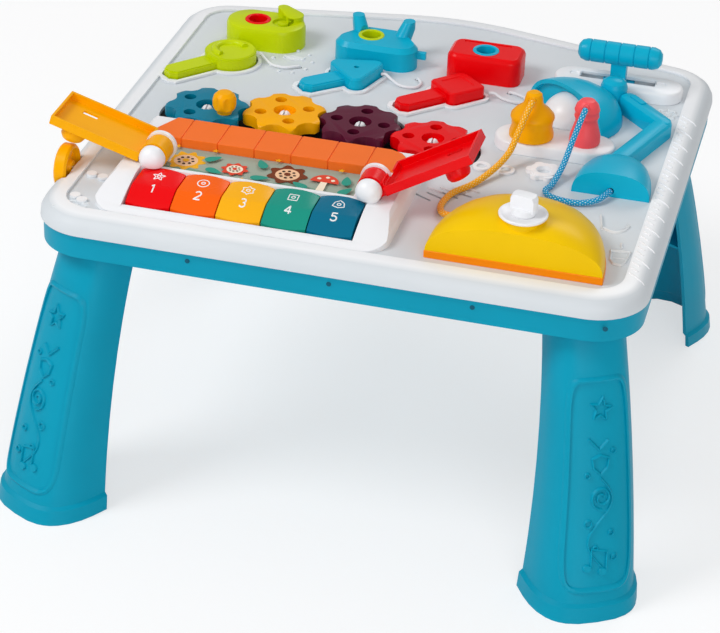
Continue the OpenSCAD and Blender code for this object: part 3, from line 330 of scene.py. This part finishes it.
# cords: thickness and route in millimetres, z from the deck's floor; what each follows when it is
# lifted, and the two points between which it gives
cords = {
    "iron_cord": dict(
        thick=5.0, finish="braid_yellow", pulls="yellow_plug", slack=[[77, -52, 3], [103, 10, 37]],
        points=[[105, 18.7, 43], [104.9, 15, 42.4], [103, 10, 37], [99, 0, 24], [95, -11, 12],
                [88, -30, 6.6], [77, -52, 2.9], [65, -72, 2.9], [61, -91, 2.9], [63, -103, 3.2],
                [69, -112, 5.6], [79, -116, 8.6]]),
    "lamp_cord": dict(
        thick=4.6, finish="braid_blue", pulls="pink_plug", slack=[[131, -30, 8], [131, 8, 35]],
        points=[[147, 19, 43], [146.6, 15, 42], [144.6, 8, 35], [141, -1, 21], [138, -14, 9],
                [134, -34, 2.8], [131, -45, 2.6], [136, -53, 2.6], [147, -57, 2.6], [160, -57, 2.8],
                [172, -50, 4], [179, -35, 5]]),
    "tether_green": dict(
        thick=2.4, finish="white_cord", pulls="green_key", slack=[[-116, 103, 1.5], [-142, 115, 5]],
        points=[[-146, 113.7, 5], [-142, 115, 5], [-136, 111, 2.4], [-129, 105, 1.5], [-118, 103, 1.5],
                [-109, 108, 1.6], [-107, 110, 0.6], [-107, 110.4, -2.4]]),
    "tether_cyan": dict(
        thick=2.4, finish="white_cord", pulls="cyan_key", slack=[[-12, 105, 1.5], [-33, 105, 5]],
        points=[[-36.9, 109.4, 5], [-33, 110, 5], [-26, 106, 2.4], [-17, 100, 1.5], [-6, 101, 1.5],
                [-3, 109, 1.5], [-6, 116, 1.6], [-8, 119, 0.6], [-8.2, 119.4, -2.4]]),
    "tether_red": dict(
        thick=2.4, finish="white_cord", pulls="red_key", slack=[[68, 108, 3], [59, 103, 3]],
        points=[[55, 103, 5], [60, 104, 5], [67, 102, 2.4], [79, 100, 1.5], [87, 104, 1.5],
                [83, 112, 1.5], [72, 117, 1.6], [70, 118, 0.6], [69.6, 118.2, -2.4]]),
}
deckZ = 236.0  # the deck's floor above the ground, in millimetres
tube = dict(steps=8, sides=24, twists=6, steep=0.25, aside=(0.9, 0.3, 0.1))

for n in nodes:
    finish = repaint.get(n, slotOf[n])
    if n in hidden:
        dress(nodes[n], finish)
    elif n not in cords:
        piece = softCopy(n, finish)
        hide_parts(n)
        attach(piece, bodyOf[n])
print("solids dressed")


def smoothRoute(points, k):
    # Catmull-Rom cubic through the points, k steps from each to the next
    p = np.array(points, float)
    q = np.vstack([p[:1], p, p[-1:]])
    t = (np.arange(k) / k)[None, :, None]
    a, b, c, d = (q[i:len(q) - 3 + i][:, None, :] for i in range(4))
    s = 0.5 * (2 * b + (c - a) * t + (2 * a - 5 * b + 4 * c - d) * t ** 2 + (3 * b - a - 3 * c + d) * t ** 3)
    return np.vstack([s.reshape(-1, p.shape[1]), p[-1:]])


def tubeMesh(name, pts, uv):
    # pts[i, j] with i along and j around: four-sided faces between neighbours, and a cap at each end
    m, n, _ = pts.shape
    j = np.arange(n)
    i = np.arange(m - 1)[:, None]
    a, b = i * n + j, i * n + (j + 1) % n
    faces = np.stack([a, b, b + n, a + n], -1).reshape(-1, 4).tolist()
    faces += [list(range(n))[::-1], [(m - 1) * n + x for x in range(n)]]
    mesh = bpy.data.meshes.new(name)
    mesh.from_pydata(pts.reshape(-1, 3).tolist(), [], faces)
    layer = mesh.uv_layers.new(name="UVMap")
    loops = np.zeros(len(mesh.loops), np.int32)
    mesh.loops.foreach_get("vertex_index", loops)
    layer.data.foreach_set("uv", uv.reshape(-1, 2)[loops].astype(np.float32).ravel())
    mesh.polygons.foreach_set("use_smooth", np.ones(len(mesh.polygons), bool))
    return mesh


def cordPiece(name, spec):
    # centre line + radius (cos a side + sin a up): side is level and square to the line, or square to
    # aside where the line is steep, and up is square to both
    line = smoothRoute(spec["points"], tube["steps"])
    line[:, 2] += deckZ
    line = line / 1000
    tangent = np.gradient(line, axis=0)
    tangent /= np.linalg.norm(tangent, axis=1)[:, None]
    side = np.cross(tangent, [0, 0, 1.0])
    steep = np.linalg.norm(side, axis=1) < tube["steep"]
    side[steep] = np.cross(tangent[steep], tube["aside"])
    side /= np.linalg.norm(side, axis=1)[:, None]
    up = np.cross(side, tangent)
    a = np.linspace(0, 2 * math.pi, tube["sides"] + 1)[:-1]
    ring = np.cos(a)[None, :, None] * side[:, None, :] + np.sin(a)[None, :, None] * up[:, None, :]
    pts = line[:, None, :] + spec["thick"] / 2000 * ring
    far = np.concatenate([[0], np.cumsum(np.linalg.norm(np.diff(line, axis=0), axis=1))])
    uv = np.stack(np.broadcast_arrays(far[:, None], (a / (2 * math.pi) * tube["twists"])[None, :]), -1)
    piece = placed(name + "_soft", tubeMesh(name + "_soft", pts, uv), spec["finish"])
    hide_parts(name)
    near, lifted = ([x / 1000, y / 1000, (z + deckZ) / 1000] for x, y, z in spec["slack"])
    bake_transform(piece)


for name, spec in cords.items():
    cordPiece(name, spec)
print("cords laid")


# raised work: shares of the width across a line and of its height there, the shares of a patch's
# outline and height below its top, and the angle of a sharp edge in degrees
emboss = dict(across=(-0.5, -0.34, 0.0, 0.34, 0.5), rise=(-0.25, 0.72, 1.0, 0.72, -0.25),
              rings=((1, -0.25), (0.96, 0.7)), sharp=38)


def meshPiece(name, verts, faces, finish, body):
    # millimetres in, one object riding its body out
    mesh = bpy.data.meshes.new(name)
    mesh.from_pydata((np.asarray(verts, float) * 0.001).tolist(), [], faces)
    smoothed(mesh, emboss["sharp"])
    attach(placed(name, mesh, finish), body)


# raised lines and patches gathered into one piece; lay(x, y, height) puts them on a surface
class Relief:
    def __init__(self, lay):
        self.lay, self.verts, self.faces, self.count = lay, [], [], 0

    def add(self, local, faces):
        p = self.lay(local[:, 0], local[:, 1], local[:, 2])
        self.verts.append(p)
        self.faces += [[self.count + i for i in f] for f in faces]
        self.count += len(p)

    def line(self, path, width, height, closed=False):
        # path + normal times across, five points wide: foot, shoulder, crown, shoulder, foot
        p = np.asarray(path, float)
        t = np.roll(p, -1, 0) - np.roll(p, 1, 0) if closed else np.gradient(p, axis=0)
        t /= np.maximum(np.linalg.norm(t, axis=1)[:, None], 1e-9)
        normal = np.stack([-t[:, 1], t[:, 0]], 1)
        across, rise = np.array(emboss["across"]) * width, np.array(emboss["rise"]) * height
        xy = p[:, None, :] + normal[:, None, :] * across[None, :, None]
        local = np.concatenate([xy, np.broadcast_to(rise, xy.shape[:2])[..., None]], -1).reshape(-1, 3)
        m, k = len(p), len(across)
        i = np.arange(m if closed else m - 1)[:, None]
        j = np.arange(k - 1)
        a, b = i * k + j, ((i + 1) % m) * k + j
        faces = np.stack([a, b, b + 1, a + 1], -1).reshape(-1, 4)[:, ::-1].tolist()
        if not closed:
            faces += [list(range(k)), [(m - 1) * k + x for x in range(k)][::-1]]
        self.add(local, faces)

    def patch(self, outline, height, shrink=0.86):
        # the outline drawn in towards its middle at three heights, and closed at the middle
        o = np.asarray(outline, float)
        c, n = o.mean(0), len(o)
        rings = [np.c_[c + (o - c) * s, np.full(n, h * height)] for s, h in emboss["rings"] + ((shrink, 1),)]
        j = np.arange(n)
        k = (j + 1) % n
        walls = [np.c_[r * n + j, r * n + k, (r + 1) * n + k, (r + 1) * n + j] for r in (0, 1)]
        faces = np.vstack(walls).tolist() + np.c_[2 * n + j, 2 * n + k, np.full(n, 3 * n)].tolist()
        self.add(np.vstack(rings + [[[c[0], c[1], height]]]), faces)

    def done(self, name, finish, body):
        meshPiece(name, np.vstack(self.verts), self.faces, finish, body)


def arc(cx, cy, r, a0, a1, n=24, ry=None):
    # centre + (r cos a, ry sin a), a from a0 to a1 degrees in n points
    a = np.radians(np.linspace(a0, a1, n))
    return np.c_[cx + r * np.cos(a), cy + (ry or r) * np.sin(a)]


def starLine(cx, cy, big, small, points=5, turn=90):
    # centre + r (cos a, sin a), r big and small in turn
    a = np.radians(turn + np.arange(2 * points) * 180 / points)
    r = np.where(np.arange(2 * points) % 2 == 0, big, small)
    return np.c_[cx + r * np.cos(a), cy + r * np.sin(a)]


def denser(path, step=1.0, closed=False):
    # the same straight runs with points no further apart than step
    p = np.asarray(path, float)
    q = np.vstack([p, p[:1]]) if closed else p
    runs = [np.linspace(a, b, max(2, int(np.linalg.norm(b - a) / step) + 1), endpoint=False)
            for a, b in zip(q[:-1], q[1:])]
    return np.vstack(runs if closed else runs + [q[-1:]])


# raised marks on the deck in millimetres; stroke is width and height
deckArt = dict(
    beads=dict(at=(-116, 118), r=(17, 22), count=9, turn=12, size=1.6, high=1.6, shrink=0.55),
    leaf=dict(at=(-116, 126), apart=4, r=9, bulge=6, span=(20, 160), stroke=(2.4, 1.5)),
    cog=dict(at=(199, 120), tip=9.4, root=6.6, teeth=8, step=1.4, stroke=(2.4, 1.6),
             hub=3.2, hubStroke=(1.6, 0.9)),
    stick=dict(path=[(178, -68), (182.4, -88)], step=2.0, stroke=(2.0, 2.4)),
    slice=dict(path=[(183, -86), (189, -90), (195, -89), (199, -84), (200.6, -77)], stroke=(2.2, 1.8),
               inner=0.97, shift=(4.6, -1.0), innerStroke=(1.2, 1.0)),
    pot=dict(path=[(193.4, -118.4), (194.6, -122), (195.4, -132), (198.8, -137), (204.4, -138),
                   (206.6, -134), (208, -117)], step=1.5, stroke=(1.7, 1.7)),
    steam=dict(path=[(199.6, -106), (200.6, -112)], step=2.0, stroke=(1.8, 1.8)),
    level=dict(path=[(197, -128), (205.5, -127)], step=2.0, stroke=(1.1, 0.8)),
    waves=dict(x=(-214, -190), y=-182, apart=6, count=3, swing=1.4, crests=2, stroke=(2.4, 1.3)),
    rays=dict(path=[(44, -64), (50, -66.5), (56, -69.5)], apart=(9, 3), count=4, stroke=(2.2, 1.3)),
)


def onDeck(x, y, h):
    # height above the deck's level floor
    return np.c_[x, y, deckZ + h]


def layDeckArt():
    r = Relief(onDeck)
    a = deckArt["beads"]  # a ring of beads round a leaf, between the green and cyan locks
    for turn in np.radians(np.arange(a["count"]) * 360 / a["count"] + a["turn"]):
        cx, cy = a["at"][0] + a["r"][0] * math.cos(turn), a["at"][1] + a["r"][1] * math.sin(turn)
        r.patch(arc(cx, cy, a["size"], 0, 330, 12), a["high"], a["shrink"])
    a = deckArt["leaf"]
    for side, turn in ((-1, 0), (1, 180)):
        ends = [turn + end for end in a["span"]]
        r.line(arc(a["at"][0], a["at"][1] + side * a["apart"], a["r"], *ends, 18, a["bulge"]), *a["stroke"])
    a = deckArt["cog"]  # by the right edge
    r.line(denser(starLine(*a["at"], a["tip"], a["root"], a["teeth"]), a["step"], True), *a["stroke"], True)
    r.line(arc(*a["at"], a["hub"], 0, 345, 20), *a["hubStroke"], True)
    a = deckArt["stick"]  # the next five are by the iron
    r.line(denser(a["path"], a["step"]), *a["stroke"])
    a = deckArt["slice"]
    rind = smoothRoute(a["path"], 6)
    r.line(rind, *a["stroke"])
    r.line(rind * a["inner"] + a["shift"], *a["innerStroke"])
    for name, closed in (("pot", True), ("steam", False), ("level", False)):
        a = deckArt[name]
        r.line(denser(a["path"], a["step"], closed), *a["stroke"], closed)
    a = deckArt["waves"]  # y + swing sin, at the front left corner
    x = np.linspace(*a["x"], 22)
    phase = (x - a["x"][0]) / (a["x"][1] - a["x"][0]) * 2 * a["crests"] * math.pi
    for k in range(a["count"]):
        r.line(np.c_[x, a["y"] + a["apart"] * k + a["swing"] * np.sin(phase)], *a["stroke"])
    a = deckArt["rays"]  # behind the speaker slits
    for k in range(a["count"]):
        r.line(np.array(a["path"]) + np.array(a["apart"]) * k, *a["stroke"])
    r.done("deckMarks", "deck_mark", "table")


layDeckArt()

# ruler strokes along the right rim, long and short in turn; fall is how the rim's top drops
# towards the deck's edge, as pairs of distance in from the edge and height
ruler = dict(edge=230.0, fall=((0, -12), (0.6, -7), (3, -2.5), (7, 0.5), (12.5, 2), (18.5, 2.5)), x=212.5,
             y0=-150, y1=118, count=34, every=3, long=12.5, short=5.5, slant=-0.7, width=1.5, high=0.7)


def onRim(x, y, h):
    # height above the rim, read off the fall by the distance from the edge
    inset, top = np.array(ruler["fall"]).T
    return np.c_[x, y, deckZ + np.interp(ruler["edge"] - x, inset, top) + h]


rimMarks = Relief(onRim)
for i, y in enumerate(np.linspace(ruler["y0"], ruler["y1"], ruler["count"])):
    run = np.linspace(0, ruler["short"] if i % ruler["every"] else ruler["long"], 9)
    rimMarks.line(np.c_[ruler["x"] + run, y + ruler["slant"] * run], ruler["width"], ruler["high"])
rimMarks.done("rimMarks", "white_abs", "table")
print("deck relief laid")

# painted shade: dark teal dots standing a little out of the front of the tray where its screw holes are
screwHoleShade = dict(x=(-104, 3, 109, 205), y=-197.8, z=217.5, r=1.9, high=0.5, shrink=0.6)
holeShade = Relief(lambda x, z, h: np.c_[x, screwHoleShade["y"] - h, z])  # height stands out towards the front
for x in screwHoleShade["x"]:
    holeShade.patch(arc(x, screwHoleShade["z"], screwHoleShade["r"], 0, 345, 18), screwHoleShade["high"], screwHoleShade["shrink"])
holeShade.done("trayScrewShade", "screw_hole_shade", "table")

# numbers and badges on the keys, in millimetres about their own middles
digits = {
    1: [[(-1.6, 2.2), (0, 3.6), (0, -3.6)]],
    2: [np.vstack([arc(0, 1.6, 2.1, 160, -30, 12), [(-2.2, -3.6)], [(2.4, -3.6)]])],
    3: [np.vstack([arc(0, 1.8, 1.9, 150, -80, 12), arc(0, -1.8, 2.1, 80, -150, 12)])],
    4: [[(0.9, -3.6), (0.9, 3.6), (-2.4, -1.4), (2.6, -1.4)]],
    5: [np.vstack([[(2.0, 3.6), (-1.6, 3.6), (-1.8, 0.6)], arc(-0.1, -1.3, 2.2, 110, -150, 14)])],
}
badges = {
    1: starLine(0, 0, 5.0, 2.4, 5),
    2: arc(0, 0, 4.4, 0, 345, 24),
    3: starLine(0, 0, 5.2, 3.6, 6),
    4: starLine(0, 0, 5.0, 3.5, 4, 45),
    5: starLine(0, 0, 5.2, 4.0, 3),
}
keyPrint = dict(digitY=-152, scale=1.02, step=0.7, stroke=(1.25, 0.4),
                badgeY=-138, badgeStep=0.9, badgeStroke=(0.9, 0.22), eye=1.4)
keyShape = dict(x0=-163.0, pitch=34.8, crown=15.0, along=66.9, across=50.0, ridge=-130.0)


def onKey(number):
    # the lower of two circles' tops, one along the key and one across it
    shape = keyShape
    mid = shape["x0"] + (number - 0.5) * shape["pitch"]

    def lay(x, y, h):
        a = shape["crown"] - shape["across"] + np.sqrt(shape["across"] ** 2 - x ** 2)
        b = shape["crown"] - shape["along"] + np.sqrt(shape["along"] ** 2 - (y - shape["ridge"]) ** 2)
        return np.c_[mid + x, y, deckZ + np.minimum(a, b) + h]

    return lay


for number, paths in digits.items():
    a = keyPrint
    prints = Relief(onKey(number))
    for path in paths:
        path = np.asarray(path, float) * a["scale"] + (0, a["digitY"])
        prints.line(denser(path, a["step"]), *a["stroke"])
    badge = badges[number] + (0, a["badgeY"])
    prints.line(denser(badge, a["badgeStep"], True), *a["badgeStroke"], True)
    prints.line(arc(0, a["badgeY"], a["eye"], 0, 330, 12), *a["badgeStroke"], True)
    prints.done("keyPrint_%d" % number, "print_white", "key_%d" % number)
print("keys numbered")

# the picture under the doors, in millimetres: hills, three big blooms, a mushroom, leaves, stars
picture = dict(
    z=9.0, step=0.05,
    hills=dict(x=(-157, -3), low=-119, high=-112, swing=4, pitch=14),
    blooms=((-138, -97, 14, 9, "paintGold", "paintSkin"), (-58, -96, 14, 7, "paintBrown", "paintSkin"),
            (-98, -101, 9.5, 8, "paintRed", "paintCream")),  # x, y, r, petals, petal paint, heart paint
    petal=dict(wave=0.14, squash=0.96, heart=0.66, middle=0.18, seedRing=0.4, seed=0.09),
    mushroom=dict(cap=(-28, -101, 11), bulge=12, corner=(-39, -101),
                  stem=[(-31, -115), (-25, -115), (-25.5, -101), (-30.5, -101)],
                  dots=((-33, -96), (-27, -93), (-22, -97)), dot=1.6),
    leaves=((-118, -91, 40), (-112, -110, -20), (-80, -88, 120), (-76, -110, 15), (-44, -112, 150),
            (-12, -95, 100), (-9, -111, 60)),  # x, y, turn in degrees
    leaf=dict(long=7, wide=2.9, blunt=1.2, taper=0.5),
    stars=((-88, -117), (-150, -80), (-120, -79), (-70, -79), (-20, -80)), star=(3.0, 1.4, 5),
)


# flat paper shapes: each colour is one piece, each shape a hair above the one before
class Sheet:
    def __init__(self):
        self.at, self.layers = 0, {}

    def put(self, points, faces, finish):
        self.at += 1
        z = deckZ + picture["z"] + picture["step"] * self.at
        verts, polys = self.layers.setdefault(finish, ([], []))
        first = sum(map(len, verts))
        verts.append(np.c_[points, np.full(len(points), z)])
        polys += [[first + i for i in face] for face in faces]

    def shape(self, outline, finish):
        # a fan round the middle of the outline
        o = np.asarray(outline, float)
        k = len(o)
        self.put(np.vstack([o, o.mean(0)]), [[j, (j + 1) % k, k] for j in range(k)], finish)

    def band(self, x, low, high, finish):
        # upright strips between two edges over the same x
        k = len(x)
        both = np.vstack([np.c_[x, low + 0 * x], np.c_[x, high]])
        self.put(both, [[i, i + 1, k + i + 1, k + i] for i in range(k - 1)], finish)

    def done(self):
        for finish, (verts, polys) in self.layers.items():
            meshPiece("picture_" + finish, np.vstack(verts), polys, finish, "table")


def paintPicture():
    art = Sheet()
    a = picture["hills"]  # high + swing sin of the way along
    x = np.linspace(*a["x"], 60)
    art.band(x, a["low"], a["high"] + a["swing"] * np.sin((x - a["x"][0]) / a["pitch"]), "paintMoss")
    a = picture["petal"]  # r (1 + wave cos of petals times t), a little squashed
    t = np.radians(np.arange(0, 360, 5))
    for cx, cy, r, petals, paint, heart in picture["blooms"]:
        edge = r * (1 + a["wave"] * np.cos(petals * t))
        art.shape(np.c_[cx + edge * np.cos(t), cy + a["squash"] * edge * np.sin(t)], paint)
        art.shape(arc(cx, cy, r * a["heart"], 0, 355, 40), heart)
        for turn in np.radians(np.arange(0, 360, 45)):
            sx, sy = cx + r * a["seedRing"] * math.cos(turn), cy + r * a["seedRing"] * math.sin(turn)
            art.shape(arc(sx, sy, r * a["seed"], 0, 340, 12), "paintInk")
        art.shape(arc(cx, cy, r * a["middle"], 0, 345, 20), paint)
    a = picture["mushroom"]
    art.shape(np.vstack([arc(*a["cap"], 0, 180, 24, a["bulge"]), [a["corner"]]]), "paintRed")
    art.shape(a["stem"], "paintCream")
    for x, y in a["dots"]:
        art.shape(arc(x, y, a["dot"], 0, 340, 14), "paintCream")
    a = picture["leaf"]  # (long cos t, wide sin t (blunt - taper cos t)), turned
    t = np.radians(np.arange(0, 360, 15))
    x, y = a["long"] * np.cos(t), a["wide"] * np.sin(t) * (a["blunt"] - a["taper"] * np.cos(t))
    for cx, cy, turn in picture["leaves"]:
        s, c = math.sin(math.radians(turn)), math.cos(math.radians(turn))
        art.shape(np.c_[cx + x * c - y * s, cy + x * s + y * c], "paintLeaf")
    for at in picture["stars"]:
        art.shape(starLine(*at, *picture["star"]), "paintGold")
    art.done()


paintPicture()
print("picture laid")

# the legs' section at the foot, halfway and at the seam: reach is the half chord, depth the bulge,
# x and y the middle; lip and marks lie on the leg, across its width and up from the floor
leg = dict(seam=212.0, reach=(41.0, 0.485, 29.0), depth=(53.0, 0.485, 35.0), x=(199, 193, 178), y=(190, 165, 137),
           shift=-10, lean=60.0, sunk=1.4, power=2.8)
legArt = dict(
    lip=dict(middle=96.5, half=74.5, across=0.72, square=2 / 7, stroke=(4.8, 3.0)),
    star=dict(at=(1, 150), r=(8.5, 3.8), points=5, turn=80, step=1.6, stroke=(1.8, 1.8)),
    tick=dict(path=((-9, 130), (-1, 122), (6, 128)), step=1.5, stroke=(2.0, 1.8)),
    hexagon=dict(at=(0, 112), r=(7.5, 6.0), points=3, turn=30, step=1.5, stroke=(1.9, 1.8)),
    curl=dict(at=(1, 88), r=1.5, grows=7, turns=11, stroke=(1.8, 1.8)),
    ribbon=dict(swing=9, turns=7, z=(102, 34), stroke=(1.6, 1.4)),
    bubbles=dict(at=((-9, 70, 2.6), (9, 62, 2.0), (-3, 52, 1.8), (10, 120, 1.8), (-10, 104, 1.8), (12, 44, 2.2)),
                 stroke=(1.3, 1.4)),
    pebbles=dict(at=((-9, 38), (3, 35)), r=(3.4, 2.8), high=1.7),
    gate=dict(path=((-6, 38), (-6, 52), (6, 49), (6, 35)), step=1.5, stroke=(1.7, 1.7)),
)


def through(foot, middle, top, t):
    # parabola through foot at 0, middle at a half and top at 1
    return foot * (1 - t) * (1 - 2 * t) + 4 * middle * t * (1 - t) + top * t * (2 * t - 1)


def taper(spec, t):
    # as above, with the middle a share of foot + top
    foot, share, top = spec
    return through(foot, share * (foot + top), top, t)


def onLeg(sx, sy):
    s, k = math.sin(math.radians(leg["lean"])), math.cos(math.radians(leg["lean"]))

    def lay(w, z, h):
        # superellipse |w / a| ^ power + (v / b) ^ power = 1, turned to face the corner and set on the bow
        t = z / leg["seam"]
        a, b = taper(leg["reach"], t), taper(leg["depth"], t) - leg["sunk"] + h
        c = np.abs(w / a) ** (leg["power"] / 2)
        v = b * (1 - c ** 2) ** (1 / leg["power"])
        x, y = through(*leg["x"], t) + w * s + v * k, through(*leg["y"], t) - w * k + v * s
        return np.c_[sx * x, sy * y + leg["shift"], z]

    return lay


def legDoodles(name, sx, sy, flip):
    r = Relief(onLeg(sx, sy))
    both = np.array([flip, 1])
    a = legArt["lip"]  # a squarish loop: the signed power of cos and sin, narrowing with the leg
    turn = np.radians(np.arange(0, 360, 2.5))
    u, v = (np.sign(q) * np.abs(q) ** a["square"] for q in (np.cos(turn), np.sin(turn)))
    z = a["middle"] + a["half"] * v
    r.line(np.c_[a["across"] * taper(leg["reach"], z / leg["seam"]) * u, z], *a["stroke"], True)
    a = legArt["star"]
    star = starLine(flip * a["at"][0], a["at"][1], *a["r"], a["points"], a["turn"])
    r.line(denser(star, a["step"], True), *a["stroke"], True)
    a = legArt["tick"]
    r.line(denser(a["path"] * both, a["step"]), *a["stroke"])
    a = legArt["hexagon"]
    r.line(denser(starLine(*a["at"], *a["r"], a["points"], a["turn"]), a["step"], True), *a["stroke"], True)
    a = legArt["curl"]  # a circle whose radius grows as it turns
    t = np.linspace(0, 1, 60)
    far, turn = a["r"] + a["grows"] * t, t * a["turns"]
    r.line(np.c_[flip * (a["at"][0] + far * np.cos(turn)), a["at"][1] + far * np.sin(turn)], *a["stroke"])
    a = legArt["ribbon"]  # a sine down the leg
    across = a["swing"] * np.sin(np.linspace(0, a["turns"], 70))
    r.line(np.c_[flip * across, np.linspace(*a["z"], 70)], *a["stroke"])
    a = legArt["bubbles"]
    for x, z, size in a["at"]:
        r.line(arc(flip * x, z, size, 0, 340, 16), *a["stroke"], True)
    a = legArt["pebbles"]
    for x, z in a["at"]:
        r.patch(arc(flip * x, z, a["r"][0], 0, 345, 18, a["r"][1]), a["high"])
    a = legArt["gate"]
    r.line(denser(a["path"] * both, a["step"]), *a["stroke"])
    r.done(name, "teal_pp", "table")


legDoodles("legMarks_front_left", -1, -1, 1)
legDoodles("legMarks_front_right", 1, -1, 1)
legDoodles("legMarks_rear_left", -1, 1, -1)
legDoodles("legMarks_rear_right", 1, 1, -1)
print("legs embossed")

# pale floor and soft light; the floor shines at glow where the camera or a reflection sees it
room = dict(
    floor=[(-6, -6, 0), (6, -6, 0), (6, 9, 0), (-6, 9, 0)], paint=(0.86, 0.86, 0.87, 1), glow=1.22, share=0.5,
    sky=0.4, skySeen=0.6, aim=(0, 0, 0.2),
    lamps=dict(
        key=dict(at=(-1.5, -1.0, 2.1), size=1.1, watts=30),
        fill=dict(at=(1.0, -2.4, 1.2), size=1.8, watts=22),
        rear=dict(at=(0.5, 1.9, 2.0), size=1.2, watts=12),
    ),
)


def layFloor():
    # share of the glow in the mix where the camera, glossy or transmission ray lands
    mesh = bpy.data.meshes.new("floor")
    mesh.from_pydata(room["floor"], [], [(0, 1, 2, 3)])
    floor = bpy.data.objects.new("floor", mesh)
    scene.collection.objects.link(floor)
    f = Finish("floorPaint", {"Roughness": 0.9, "Base Color": room["paint"]})
    camera = f.node("LightPath", take="Is Camera Ray")
    rays = camera + camera.also("Is Glossy Ray") + camera.also("Is Transmission Ray")
    seen = f.node("Math", {"operation": "MINIMUM"}, {0: rays, 1: 1.0})
    glow = f.node("Emission", None, {"Color": (1, 1, 1, 1), "Strength": room["glow"]})
    paint = Sig(f.tree, f.shader.outputs[0])
    mix = f.node("MixShader", None, {0: seen * room["share"], 1: paint, 2: glow})
    f.tree.links.new(mix.out, f.tree.nodes["Material Output"].inputs["Surface"])
    mesh.materials.append(f.mat)


def hangLamps():
    # sky everywhere, and skySeen more where the camera looks at it; the lamps point at aim
    world = bpy.data.worlds.new("softRoom")
    scene.world = world
    world.use_nodes = True
    tree = world.node_tree
    back = tree.nodes["Background"]
    back.inputs["Color"].default_value = (1, 1, 1, 1)
    seen = Sig(tree, tree.nodes.new("ShaderNodeLightPath").outputs["Is Camera Ray"])
    tree.links.new((seen * room["skySeen"] + room["sky"]).out, back.inputs["Strength"])
    for name, spec in room["lamps"].items():
        data = bpy.data.lights.new(name, "AREA")
        data.shape, data.size, data.energy = "DISK", spec["size"], spec["watts"]
        lamp = bpy.data.objects.new(name, data)
        scene.collection.objects.link(lamp)
        lamp.location = spec["at"]
        lamp.rotation_euler = (Vector(room["aim"]) - Vector(spec["at"])).to_track_quat("-Z", "Y").to_euler()


layFloor()
hangLamps()
print("studio lit")
